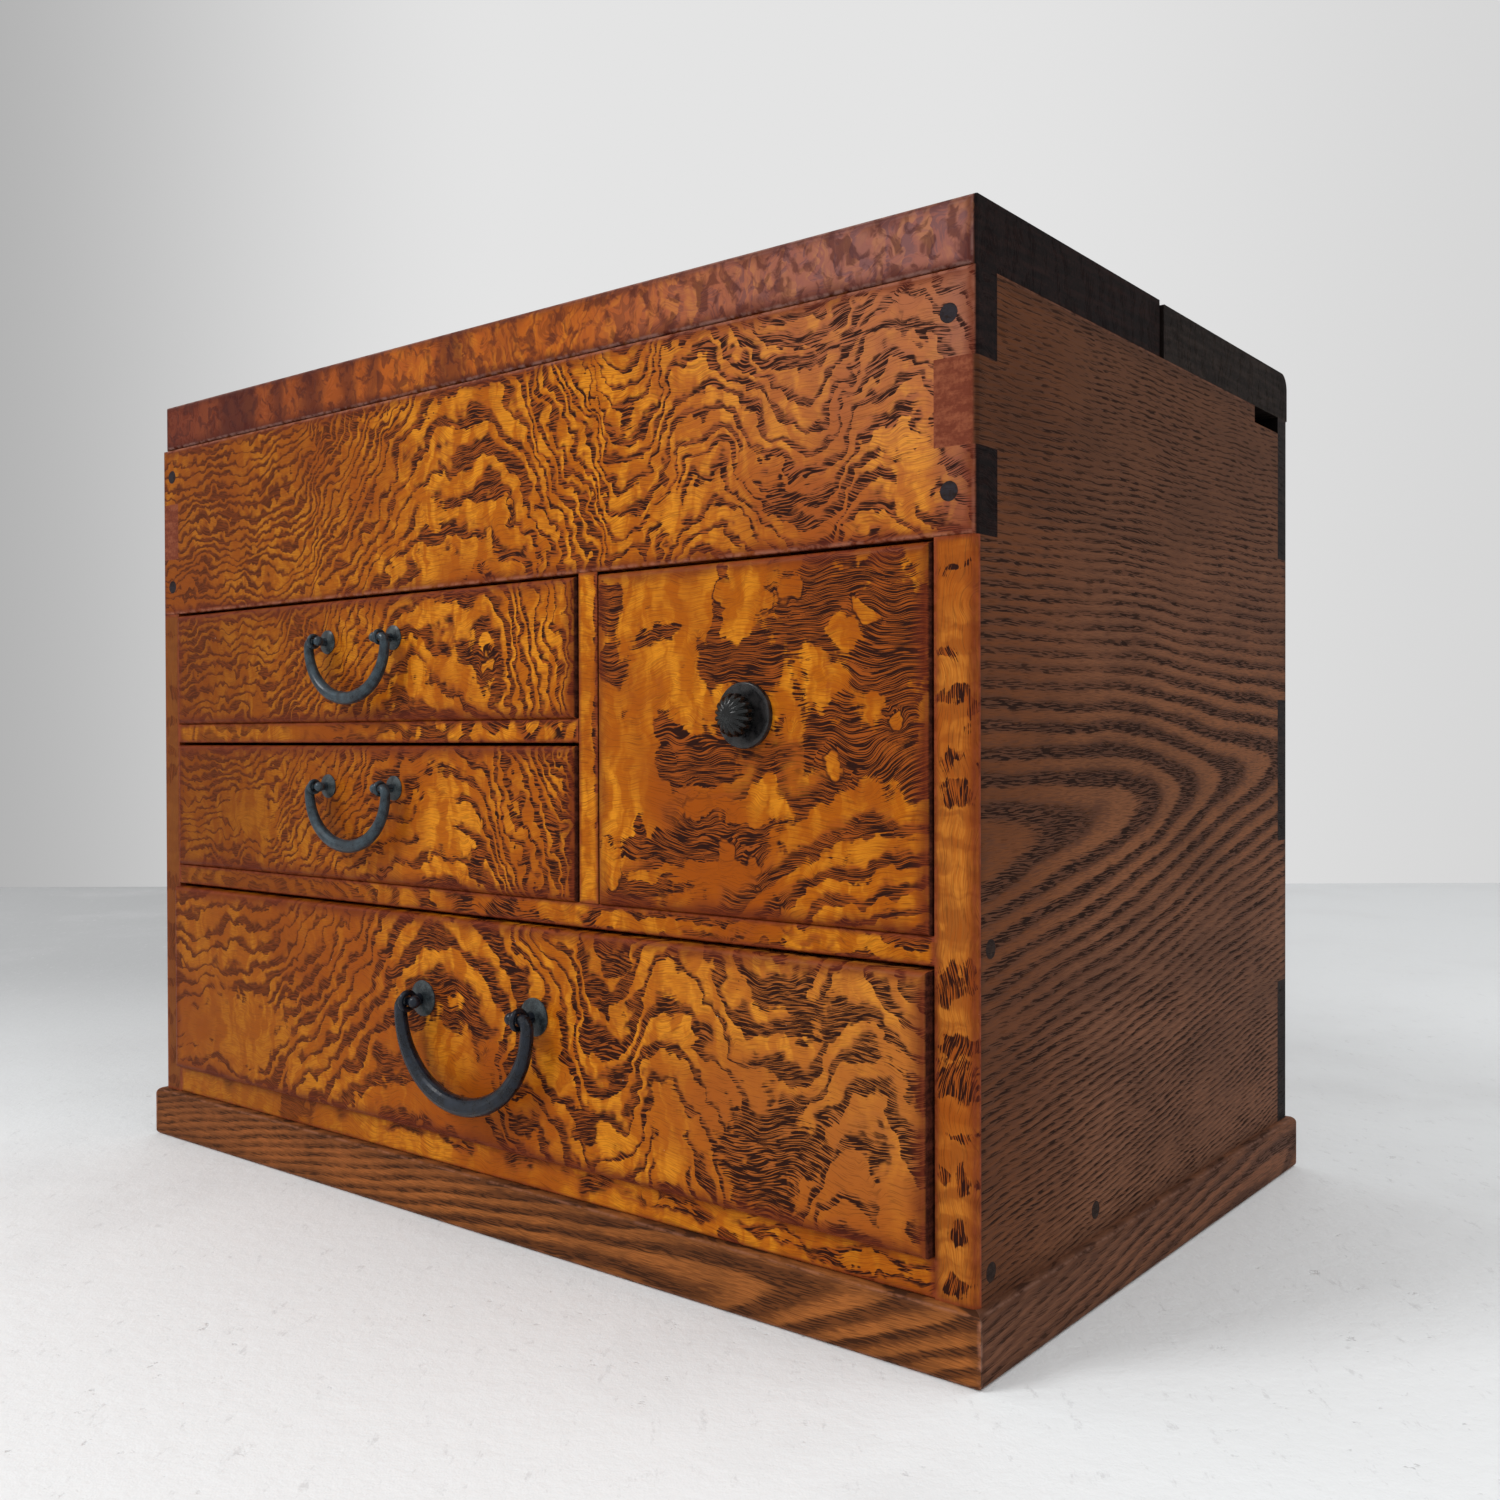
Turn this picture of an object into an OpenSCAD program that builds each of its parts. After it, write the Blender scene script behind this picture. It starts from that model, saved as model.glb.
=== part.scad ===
// Small sewing box in figured hardwood: a hinged half lid over an open tray
// space, two shallow drawers, one tall drawer, one wide drawer and a slot for
// a ruler. The front faces -Y, +Z is up, the origin is on the floor under the
// middle of the whole width and depth, pulls included. Sizes in millimetres.

/* [Case] */
// Width over the side boards
case_w = 301.2; // [270:0.1:340]
// Depth from the front face to the back face
case_d = 186.5; // [165:0.1:220]
// Thickness of the side boards
side_t = 9.5; // [8:0.5:12]
// Thickness of the fixed panel above the drawers
front_panel_t = 9; // [7:0.5:11]
// Height of the fixed panel above the drawers
front_panel_h = 53.3; // [44:0.1:70]
// Thickness of the back panel
back_panel_t = 8; // [6:0.5:10]
// Number of fingers where the front panel meets each side
front_fingers = 3; // [3:2:5]
// Fingers up each rear corner
back_fingers = 5; // [3:2:7]
// Thickness of the strips glued on the front edges of the sides
stile_t = 2; // [1.5:0.1:4]
// Rounding of the upright front edges of the case
case_arris = 1.8; // [0.6:0.1:2.5]
// Rounding of the upright rear edges of the case
rear_arris = 1.2; // [0.5:0.1:2.5]
// Depth of the housings that hold shelves and floor
housing = 2; // [1:0.5:3]
// Play of a board in its housing
housing_fit = 0.1; // [0.05:0.05:0.2]

/* [Plinth] */
// Height of the plinth frame
plinth_h = 15; // [12:0.5:20]
// How far the plinth stands out past the case
plinth_out = 2.2; // [1:0.1:4]
// Width of the plinth boards seen from above
plinth_w = 18; // [14:1:24]
// Rounding of the outer top edge of the plinth
plinth_arris = 2; // [0.8:0.1:2.4]
// Rounding of the outer bottom edge of the plinth
plinth_foot_arris = 1.2; // [0.5:0.1:2]

/* [Front layout] */
// Height of the rail under the wide drawer
bottom_rail_h = 8.4; // [6:0.1:12]
// Height of the opening of the wide drawer
wide_open_h = 59; // [50:0.5:75]
// Height of the rail over the wide drawer
middle_rail_h = 6.2; // [5.5:0.1:9]
// Height of the opening of the lower shallow drawer
middle_open_h = 39.1; // [34:0.1:50]
// Height of the rail between the shallow drawers
small_rail_h = 6; // [5.5:0.1:9]
// Height of the opening of the upper shallow drawer
upper_open_h = 35.5; // [32:0.5:48]
// Width of the openings of the two shallow drawers
small_open_w = 181.2; // [165:0.1:190]
// Thickness of the upright divider
divider_t = 6.6; // [6:0.1:10]
// Depth of the rails from front to back
rail_d = 12; // [10:1:16]
// Thickness of the shelves behind the rails
shelf_t = 5; // [4:0.5:5.5]
// Thickness of the floor of the top compartment
floor_t = 5; // [4:0.5:6]
// Rounding of the front edges of the rails
rail_arris = 0.6; // [0.3:0.1:1.2]
// Rounding of the front top edge of the fixed panel
panel_arris = 0.9; // [0.4:0.1:1.5]
// Rounding of edges that only a plane has touched
soft_arris = 0.4; // [0.2:0.1:0.6]

/* [Lid and top] */
// Thickness of the lid
lid_t = 14.2; // [12:0.1:16]
// Air between the lid and the case under it
lid_gap = 0.3; // [0.2:0.1:0.6]
// How far the lid edges stand back from the case
lid_inset = 0.7; // [0.4:0.1:1.5]
// Air between the lid and the fixed top board
lid_joint = 0.6; // [0.5:0.1:1]
// Drop from the lid top to the fixed top board
top_step = 0.9; // [0.6:0.1:1.5]
// Depth of the fixed top board, front to back
rear_top_d = 92.5; // [80:0.5:100]
// Rounding of the rear edge of the fixed top board
rear_top_arris = 4.5; // [2:0.5:6]
// Rounding of the front top edge of the lid
lid_arris = 1.8; // [0.8:0.1:2.5]
// Rounding of the front bottom edge of the lid
lid_under_arris = 1; // [0.5:0.1:1.8]

/* [Lid hinges] */
// Length of each hinge
hinge_l = 24; // [18:1:36]
// Distance of each hinge from the middle of the lid
hinge_x = 88; // [60:1:100]
// Radius of the hinge barrel
barrel_r = 2; // [1.8:0.1:2.4]
// Radius of the hinge pin
hinge_pin_r = 0.9; // [0.7:0.1:1]
// Running clearance of the hinge pin
hinge_fit = 0.05; // [0.03:0.01:0.1]
// Thickness of a hinge leaf
leaf_t = 0.9; // [0.7:0.1:1.1]
// Height of a hinge leaf below the pin
leaf_h = 10; // [8:0.5:11]
// Air round the barrel in the boards
barrel_air = 0.35; // [0.3:0.05:0.5]
// Air between the knuckles
knuckle_air = 0.3; // [0.2:0.05:0.4]
// Height of the pin over the middle of the step in the top
hinge_up = 0.15; // [0:0.05:0.3]

/* [Drawers] */
// Thickness of the drawer fronts
front_t = 12; // [10:0.5:15]
// Thickness of the drawer sides and backs
drawer_side_t = 6; // [5:0.5:8]
// Thickness of the drawer bottoms
drawer_bottom_t = 4; // [3:0.5:5]
// How far a side is let into the front
front_lap = 5; // [4:0.5:7]
// How far the three upper drawers stand out
proud = 1.2; // [0.5:0.1:2]
// How far the wide drawer stands out
wide_proud = 2.8; // [1:0.1:4]
// Air at each side of a drawer
side_air = 0.6; // [0.3:0.1:1]
// Air over a drawer
top_air = 0.8; // [0.5:0.1:1.2]
// Drop from the top of a front to its sides
side_drop = 1.5; // [1:0.5:3]
// Rounding of the drawer front edges
drawer_arris = 1.7; // [0.8:0.1:2.5]

/* [Small pulls] */
// Distance between the two eyes of a small pull
small_eye_gap = 29.8; // [24:0.2:36]
// Depth of a small bail below its eyes
small_bail_drop = 16.4; // [15:0.2:18]
// Radius of a small bail near its eyes
small_leg_r = 1.3; // [1:0.05:1.4]
// Radius of a small bail at its lowest point
small_bow_r = 1.8; // [1.3:0.05:1.9]
// Radius of the necks that turn in the eyes
small_neck_r = 0.8; // [0.7:0.05:1]
// Radius of the buttons on the necks
small_tip_r = 1.4; // [1.3:0.05:1.6]
// Radius of the wire of a small eye
small_wire_r = 0.55; // [0.5:0.05:0.65]
// Radius of the bend at the top of a small bail
small_elbow_r = 1.5; // [1.45:0.05:2.2]
// Radius of a small backplate
small_plate_r = 3.4; // [3:0.1:4.5]
// Thickness of a small backplate in the middle
small_plate_t = 1.1; // [0.8:0.1:1.4]
// Thickness of a small backplate at the rim
small_rim_t = 0.25; // [0.15:0.05:0.5]
// Distance of a small eye from the drawer front
small_eye_out = 4.75; // [4.4:0.05:5.5]

/* [Large pull] */
// Distance between the two eyes of the large pull
large_eye_gap = 43; // [36:0.5:52]
// Depth of the large bail below its eyes
large_bail_drop = 24.7; // [22:0.1:26]
// Radius of the large bail near its eyes
large_leg_r = 1.6; // [1.4:0.05:1.7]
// Radius of the large bail at its lowest point
large_bow_r = 2.5; // [1.8:0.05:2.6]
// Radius of the necks that turn in the eyes
large_neck_r = 1.2; // [1:0.05:1.3]
// Radius of the buttons on the necks
large_tip_r = 1.7; // [1.65:0.05:1.9]
// Radius of the wire of a large eye
large_wire_r = 0.75; // [0.65:0.05:0.85]
// Radius of the bend at the top of the large bail
large_elbow_r = 1.9; // [1.75:0.05:2.8]
// Radius of a large backplate
large_plate_r = 4.8; // [4:0.1:6]
// Thickness of a large backplate in the middle
large_plate_t = 1.5; // [1.2:0.1:1.7]
// Thickness of a large backplate at the rim
large_rim_t = 0.3; // [0.15:0.05:0.6]
// Distance of a large eye from the drawer front
large_eye_out = 5.3; // [5.1:0.05:6.2]

/* [Pull places] */
// How far the pulls sit right of the middle of their drawers
pull_shift = 5.6; // [0:0.1:8]
// Height of the upper eyes over the middle of the opening
upper_eye_up = 5.1; // [0:0.1:8]
// Height of the middle eyes over the middle of the opening
middle_eye_up = 7.1; // [0:0.1:9]
// Height of the wide drawer eyes over the middle of the opening
wide_eye_up = 6.4; // [0:0.1:12]
// Air between a neck and its eye
eye_fit = 0.3; // [0.3:0.05:0.4]
// Play of a post in its hole
post_fit = 0.1; // [0.05:0.05:0.2]
// Length of each bent leg inside the drawer
clinch_l = 5; // [4:0.5:7]
// Width of the split in a post
split = 0.25; // [0.15:0.05:0.3]

/* [Knob] */
// Radius of the knob backplate
knob_plate_r = 7.4; // [6:0.1:9]
// Thickness of the knob backplate at its rim
knob_plate_t = 1.4; // [1.1:0.1:1.8]
// Width of the raised rim of the knob backplate
knob_rim_w = 0.9; // [0.6:0.1:2]
// Depth of the dish inside the rim
knob_dish = 0.7; // [0.3:0.1:0.8]
// Radius of the fluted head
knob_r = 4.9; // [4:0.1:6]
// Length of the fluted head
knob_l = 6.6; // [5:0.1:8]
// Number of flutes
flutes = 16; // [10:1:20]
// Depth of a flute at its widest place
flute_depth = 0.54; // [0.2:0.02:0.6]
// Radius of the knob neck and stem
knob_stem_r = 1.5; // [1.2:0.1:2]
// Distance of the head from the drawer front
knob_neck_l = 0.8; // [0.8:0.1:1.6]
// Radius of the rove that the stem is riveted over
rove_r = 3.6; // [2.6:0.1:5]
// Thickness of the rove
rove_t = 1; // [0.6:0.1:1.6]
// How far the riveted stem stands out of the rove
rivet = 0.4; // [0.2:0.1:0.8]
// Height of the knob over the middle of the opening
knob_up = 4.9; // [0:0.1:10]
// How far the knob sits left of the middle of its drawer
knob_left = 0.3; // [0:0.1:4]

/* [Ruler slot] */
// Width of the slot, front to back
slot_w = 19.5; // [14:0.5:22]
// Height of the slot
slot_h = 4.7; // [4.5:0.1:7]
// Thickness of the ledge and fence of the ruler space
ledge_t = 3; // [2.5:0.5:4]

/* [Pegs] */
// Radius of the wooden pegs
peg_r = 2; // [1.2:0.05:2]
// Length of the wooden pegs
peg_l = 20; // [16:1:26]
// Distance of the front pegs from the side faces
peg_edge = 6; // [5:0.5:6.5]
// Play round a peg
peg_fit = 0.05; // [0.02:0.01:0.1]
// Depth of the side pegs under the floor of the drawer above them
peg_drop = 2.4; // [2.3:0.1:3.4]
// Distance of the rear floor peg behind the front face
floor_peg_y = 54.6; // [40:0.2:80]

/* [Hidden] */
$fn = 48;
eps = 0.5;

// The large eyes reach furthest to the front, the plinth furthest to the back
pull_reach = wide_proud + large_eye_out + large_neck_r + eye_fit + 2 * large_wire_r;
case_y = (pull_reach - plinth_out) / 2;
front_y = case_y - case_d / 2;
back_y = case_y + case_d / 2;
inner_x = case_w / 2 - side_t;
back_inner = back_y - back_panel_t;
rail_back = front_y + rail_d;

wide_z = plinth_h + bottom_rail_h;
middle_rail_z = wide_z + wide_open_h;
middle_z = middle_rail_z + middle_rail_h;
small_rail_z = middle_z + middle_open_h;
upper_z = small_rail_z + small_rail_h;
panel_z = upper_z + upper_open_h;
case_top = panel_z + front_panel_h;
finger_h = front_panel_h / front_fingers;
back_finger_h = (case_top - plinth_h) / back_fingers;

divider_x0 = -inner_x + small_open_w;
divider_x1 = divider_x0 + divider_t;

lid_z = case_top + lid_gap;
lid_top = lid_z + lid_t;
rear_top_z = lid_top - top_step;
rear_top_y = back_y - rear_top_d;
lid_back = rear_top_y - lid_joint;
lid_x = case_w / 2 - lid_inset;

hinge_y = rear_top_y - lid_joint / 2;
hinge_z = lid_top - top_step / 2 + hinge_up;
bore_r = hinge_pin_r + hinge_fit;
knuckle = (hinge_l - 2 * knuckle_air) / 3;

ledge_z = case_top - slot_h - ledge_t;
ledge_y = back_inner - slot_w;

upper_face = front_y - proud;
wide_face = front_y - wide_proud;
small_mid_x = (divider_x0 - inner_x) / 2;
tall_mid_x = (divider_x1 + inner_x) / 2;
tall_open_h = panel_z - middle_z;

upper_pull = [small_mid_x + pull_shift, upper_face, upper_z + upper_open_h / 2 + upper_eye_up];
middle_pull = [small_mid_x + pull_shift, upper_face, middle_z + middle_open_h / 2 + middle_eye_up];
wide_pull = [pull_shift, wide_face, wide_z + wide_open_h / 2 + wide_eye_up];
knob_at = [tall_mid_x - knob_left, upper_face, middle_z + tall_open_h / 2 + knob_up];

// Openings as [left, right, floor, head, face of the drawer front]
upper_open = [-inner_x, divider_x0, upper_z, panel_z, upper_face];
middle_open = [-inner_x, divider_x0, middle_z, small_rail_z, upper_face];
tall_open = [divider_x1, inner_x, middle_z, panel_z, upper_face];
wide_open = [-inner_x, inner_x, wide_z, middle_rail_z, wide_face];

// The two sizes of pull, read with the functions below
small_pull = [small_eye_gap, small_bail_drop, small_leg_r, small_bow_r, small_elbow_r, small_neck_r,
              small_tip_r, small_wire_r, small_plate_r, small_plate_t, small_rim_t, small_eye_out];
large_pull = [large_eye_gap, large_bail_drop, large_leg_r, large_bow_r, large_elbow_r, large_neck_r,
              large_tip_r, large_wire_r, large_plate_r, large_plate_t, large_rim_t, large_eye_out];

function eye_gap(pull) = pull[0];
function bail_drop(pull) = pull[1];
function leg_r(pull) = pull[2];
function bow_r(pull) = pull[3];
function elbow_r(pull) = pull[4];
function neck_r(pull) = pull[5];
function tip_r(pull) = pull[6];
function wire_r(pull) = pull[7];
function plate_r(pull) = pull[8];
function plate_t(pull) = pull[9];
function rim_t(pull) = pull[10];
function eye_out(pull) = pull[11];

bow_steps = 36;
elbow_steps = 4;
ring_sides = 20;
head_rows = 10;
head_start = 28;
points_per_flute = 6;
flute_edge = 3;
large_arc = 360;

burl = [0.72, 0.42, 0.16];
dark_wood = [0.33, 0.22, 0.16];
plain_wood = [0.76, 0.6, 0.4];
iron = [0.17, 0.19, 0.22];
peg_wood = [0.14, 0.1, 0.08];

// A plain board given by its corners
module board(x0, x1, y0, y1, z0, z1)
    translate([x0, y0, z0]) cube([x1 - x0, y1 - y0, z1 - z0]);

// What a rounded corner takes off a flat outline
module corner_waste(a, b, da, db, r)
    if (r > 0)
        difference() {
            translate([min(a, a + da * r), min(b, b + db * r)]) square(r);
            translate([a + da * r, b + db * r]) circle(r);
        }

// A rectangle with its own rounding at each corner, from lower left round to upper left
module eased(a0, a1, b0, b1, r)
    difference() {
        translate([a0, b0]) square([a1 - a0, b1 - b0]);
        corner_waste(a0, b0, 1, 1, r[0]);
        corner_waste(a1, b0, -1, 1, r[1]);
        corner_waste(a1, b1, -1, -1, r[2]);
        corner_waste(a0, b1, 1, -1, r[3]);
    }

// Outline in Y and Z drawn out along X
module along_x(x0, x1)
    translate([x0, 0, 0]) rotate([90, 0, 90]) linear_extrude(x1 - x0) children();

// Outline in X and Z drawn out along Y
module along_y(y0, y1)
    translate([0, y1, 0]) rotate([90, 0, 0]) linear_extrude(y1 - y0) children();

// Outline in X and Y drawn out along Z
module along_z(z0, z1)
    translate([0, 0, z0]) linear_extrude(z1 - z0) children();

// A round bar along X, Y or Z
module bar_x(x0, x1, y, z, r)
    translate([x0, y, z]) rotate([0, 90, 0]) cylinder(h = x1 - x0, r = r);

module bar_y(y0, y1, x, z, r)
    translate([x, y0, z]) rotate([-90, 0, 0]) cylinder(h = y1 - y0, r = r);

// The case as one block with its upright edges rounded
module case_block(z0, z1)
    along_z(z0, z1)
        eased(-case_w / 2, case_w / 2, front_y, back_y,
              [case_arris, case_arris, rear_arris, rear_arris]);

// The whole plinth ring before it is cut at the mitres
module plinth_ring() {
    x = case_w / 2 + plinth_out;
    front = front_y - plinth_out;
    back = back_y + plinth_out;
    edge = [plinth_foot_arris, plinth_foot_arris, plinth_arris, plinth_arris];
    difference() {
        intersection() {
            along_x(-x, x) eased(front, back, 0, plinth_h, edge);
            along_y(front, back) eased(-x, x, 0, plinth_h, edge);
        }
        board(-x + plinth_w, x - plinth_w, front + plinth_w, back - plinth_w, -eps, plinth_h + eps);
    }
}

// What belongs to the front or back plinth board between its mitres
module mitre_outline(s) {
    x = case_w / 2 + plinth_out;
    y = case_d / 2 + plinth_out;
    translate([0, case_y])
        polygon([[-x - eps, s * (y + eps)], [x + eps, s * (y + eps)],
                 [x - plinth_w - eps, s * (y - plinth_w - eps)],
                 [-x + plinth_w + eps, s * (y - plinth_w - eps)]]);
}

// Front and back boards run along X
module plinth_long(s)
    intersection() {
        plinth_ring();
        along_z(-eps, plinth_h + eps) mitre_outline(s);
    }

// Left and right boards run along Y
module plinth_short(s)
    difference() {
        intersection() {
            plinth_ring();
            board(min(0, s * case_w), max(0, s * case_w), -case_d, case_d, -eps, plinth_h + eps);
        }
        for (end = [-1, 1])
            along_z(-2 * eps, plinth_h + 2 * eps) mitre_outline(end);
    }

// Boards that are let into the sides, grown by g where they cut their housings
module floor_blank(g)
    board(-inner_x - housing - g, inner_x + housing + g,
          front_y + front_panel_t - housing - g, back_inner + housing + g,
          panel_z - g, panel_z + floor_t + g);

module middle_shelf_blank(g)
    board(-inner_x - housing - g, inner_x + housing + g, rail_back - g, back_inner + g,
          middle_z - shelf_t - g, middle_z + g);

module small_shelf_blank(g)
    board(-inner_x - housing - g, divider_x0 + housing + g, rail_back - g, back_inner + g,
          upper_z - shelf_t - g, upper_z + g);

module ledge_blank(g)
    board(-inner_x - housing - g, inner_x + housing + g, ledge_y - ledge_t - g, back_inner + g,
          ledge_z - g, ledge_z + ledge_t + g);

// Wooden pegs, grown by g where they cut their holes
module front_peg_set(g)
    for (s = [-1, 1])
        for (row = [0, front_fingers - 1])
            bar_y(front_y - g, front_y + peg_l + g, s * (case_w / 2 - peg_edge),
                  panel_z + (row + 1 / 2) * finger_h, peg_r + g);

module side_peg_set(g)
    for (s = [0, 1])
        mirror([s, 0, 0])
            for (place = [[rail_d / 2, middle_z], [rail_d / 2, wide_z], [floor_peg_y, wide_z]])
                bar_x(case_w / 2 - peg_l - g, case_w / 2 + g,
                      front_y + place[0], place[1] - peg_drop, peg_r + g);

// A side board: finger joints at both edges and housings on the inner face
module side_board(s)
    color(dark_wood) difference() {
        intersection() {
            case_block(plinth_h, case_top);
            board(min(s * inner_x, s * case_w / 2), max(s * inner_x, s * case_w / 2),
                  front_y, back_y, plinth_h, case_top);
        }
        board(-case_w, case_w, front_y - eps, front_y + stile_t, plinth_h - eps, panel_z);
        for (row = [0 : 2 : front_fingers - 1])
            board(-case_w, case_w, front_y - eps, front_y + front_panel_t, panel_z + row * finger_h,
                  panel_z + (row + 1) * finger_h + (row == front_fingers - 1 ? eps : 0));
        for (row = [0 : 2 : back_fingers - 1])
            board(-case_w, case_w, back_inner, back_y + eps,
                  plinth_h + row * back_finger_h - (row == 0 ? eps : 0),
                  plinth_h + (row + 1) * back_finger_h + (row == back_fingers - 1 ? eps : 0));
        floor_blank(housing_fit);
        middle_shelf_blank(housing_fit);
        ledge_blank(housing_fit);
        side_peg_set(peg_fit);
        front_peg_set(peg_fit);
        if (s < 0)
            small_shelf_blank(housing_fit);
        if (s > 0)
            board(inner_x - eps, case_w, ledge_y, back_inner, case_top - slot_h, case_top + eps);
    }

// The strip that faces the front edge of a side board under the fixed panel
module stile(s)
    color(burl) intersection() {
        case_block(plinth_h, panel_z);
        board(min(s * inner_x, s * case_w / 2), max(s * inner_x, s * case_w / 2),
              front_y, front_y + stile_t, plinth_h, panel_z);
    }

module front_panel()
    color(burl) difference() {
        intersection() {
            case_block(panel_z, case_top);
            along_x(-case_w / 2, case_w / 2)
                eased(front_y, front_y + front_panel_t, panel_z, case_top,
                      [soft_arris, 0, soft_arris, panel_arris]);
        }
        for (s = [0, 1])
            mirror([s, 0, 0])
                for (row = [1 : 2 : front_fingers - 2])
                    board(inner_x, case_w, front_y - eps, front_y + front_panel_t + eps,
                          panel_z + row * finger_h, panel_z + (row + 1) * finger_h);
        floor_blank(housing_fit);
        front_peg_set(peg_fit);
    }

module back_panel()
    color(dark_wood) difference() {
        intersection() {
            case_block(plinth_h, case_top);
            board(-case_w / 2, case_w / 2, back_inner, back_y, plinth_h, case_top);
        }
        for (s = [0, 1])
            mirror([s, 0, 0])
                for (row = [1 : 2 : back_fingers - 2])
                    board(inner_x, case_w, back_inner - eps, back_y + eps,
                          plinth_h + row * back_finger_h, plinth_h + (row + 1) * back_finger_h);
        floor_blank(housing_fit);
    }

// Room for the barrels and leaves of both hinges; side is -1 for the lid and 1 for the rear board
module hinge_room(side)
    for (x = [-hinge_x, hinge_x]) {
        bar_x(x - hinge_l / 2, x + hinge_l / 2, hinge_y, hinge_z, barrel_r + barrel_air);
        face = side < 0 ? lid_back : rear_top_y;
        board(x - hinge_l / 2, x + hinge_l / 2,
              min(face, face + side * leaf_t), max(face, face + side * leaf_t),
              hinge_z - leaf_h, hinge_z + eps);
    }

module rear_top_board()
    color(dark_wood) difference() {
        along_x(-case_w / 2, case_w / 2)
            eased(rear_top_y, back_y, case_top, rear_top_z, [0, 0, rear_top_arris, soft_arris]);
        hinge_room(1);
    }

module lid_board()
    color(burl) difference() {
        intersection() {
            along_x(-lid_x, lid_x)
                eased(front_y + lid_inset, lid_back, lid_z, lid_top,
                      [lid_under_arris, soft_arris, soft_arris, lid_arris]);
            along_z(lid_z, lid_top)
                eased(-lid_x, lid_x, front_y + lid_inset, lid_back,
                      [case_arris, case_arris, soft_arris, soft_arris]);
        }
        hinge_room(-1);
    }

// Where knuckle k of three starts along a hinge
function knuckle_x(k) = -hinge_l / 2 + k * (knuckle + knuckle_air);

// The leaves of both hinges with their own knuckles and room for the others
module hinge_leaves(side, own, other)
    for (x = [-hinge_x, hinge_x])
        color(iron) translate([x, hinge_y, hinge_z])
            difference() {
                union() {
                    board(-hinge_l / 2, hinge_l / 2,
                          min(side * lid_joint / 2, side * (lid_joint / 2 + leaf_t)),
                          max(side * lid_joint / 2, side * (lid_joint / 2 + leaf_t)),
                          -leaf_h, -bore_r);
                    for (k = own)
                        bar_x(knuckle_x(k), knuckle_x(k) + knuckle, 0, 0, barrel_r);
                }
                for (k = other)
                    bar_x(knuckle_x(k) - knuckle_air, knuckle_x(k) + knuckle + knuckle_air,
                          0, 0, barrel_r + barrel_air);
                bar_x(-hinge_l, hinge_l, 0, 0, bore_r);
            }

module hinge_pins()
    color(iron) for (x = [-hinge_x, hinge_x])
        bar_x(x - hinge_l / 2, x + hinge_l / 2, hinge_y, hinge_z, hinge_pin_r);

module rail(x0, x1, z0, z1)
    color(burl) difference() {
        along_x(x0, x1) eased(front_y, rail_back, z0, z1, [rail_arris, 0, 0, rail_arris]);
        side_peg_set(peg_fit);
    }

module divider()
    color(burl) difference() {
        along_z(middle_z, panel_z)
            eased(divider_x0, divider_x1, front_y, back_inner, [soft_arris, soft_arris, 0, 0]);
        small_shelf_blank(housing_fit);
    }

module ruler_fence()
    color(plain_wood) board(-inner_x, inner_x, ledge_y - ledge_t, ledge_y, ledge_z + ledge_t, case_top);

// Pieces of one drawer; o is its opening
module drawer_front(o) {
    x0 = o[0] + side_air;
    x1 = o[1] - side_air;
    top = o[3] - top_air;
    inside = o[4] + front_t;
    color(burl) difference() {
        intersection() {
            along_x(x0, x1) eased(o[4], inside, o[2], top, [drawer_arris, 0, soft_arris, drawer_arris]);
            along_z(o[2], top) eased(x0, x1, o[4], inside, [drawer_arris, drawer_arris, 0, 0]);
        }
        board(x0 - eps, x0 + drawer_side_t, inside - front_lap, inside + eps, o[2] - eps, top - side_drop);
        board(x1 - drawer_side_t, x1 + eps, inside - front_lap, inside + eps, o[2] - eps, top - side_drop);
        board(x0 - eps, x1 + eps, inside - front_lap, inside + eps, o[2] - eps, o[2] + drawer_bottom_t);
        children();
    }
}

module drawer_side(o, right)
    color(plain_wood) board(right ? o[1] - side_air - drawer_side_t : o[0] + side_air,
          right ? o[1] - side_air : o[0] + side_air + drawer_side_t,
          o[4] + front_t - front_lap, back_inner,
          o[2] + drawer_bottom_t, o[3] - top_air - side_drop);

module drawer_back(o)
    color(plain_wood) board(o[0] + side_air + drawer_side_t, o[1] - side_air - drawer_side_t,
          back_inner - drawer_side_t, back_inner,
          o[2] + drawer_bottom_t, o[3] - top_air - side_drop);

module drawer_bottom(o)
    color(plain_wood) board(o[0] + side_air, o[1] - side_air, o[4] + front_t - front_lap, back_inner,
          o[2], o[2] + drawer_bottom_t);

// Radius of the leg of a split post, which is two wires side by side
function post_r(pull) = 2 * wire_r(pull);

// Holes for the two posts of a pull
module post_holes(at, pull)
    for (s = [-1, 1])
        bar_y(at[1] - eps, at[1] + front_t + eps, at[0] + s * eye_gap(pull) / 2, at[2],
              post_r(pull) + post_fit);

// Two domed backplates
module plates(at, pull) {
    bore = post_r(pull) + post_fit;
    rise = plate_t(pull) - rim_t(pull);
    dome = (plate_r(pull) * plate_r(pull) + rise * rise) / (2 * rise);
    color(iron) for (s = [-1, 1])
        translate([at[0] + s * eye_gap(pull) / 2, at[1], at[2]])
            rotate([90, 0, 0])
                rotate_extrude()
                    intersection() {
                        translate([bore, 0]) square([plate_r(pull) - bore, plate_t(pull)]);
                        translate([0, plate_t(pull) - dome]) circle(dome, $fn = large_arc);
                    }
}

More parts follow.
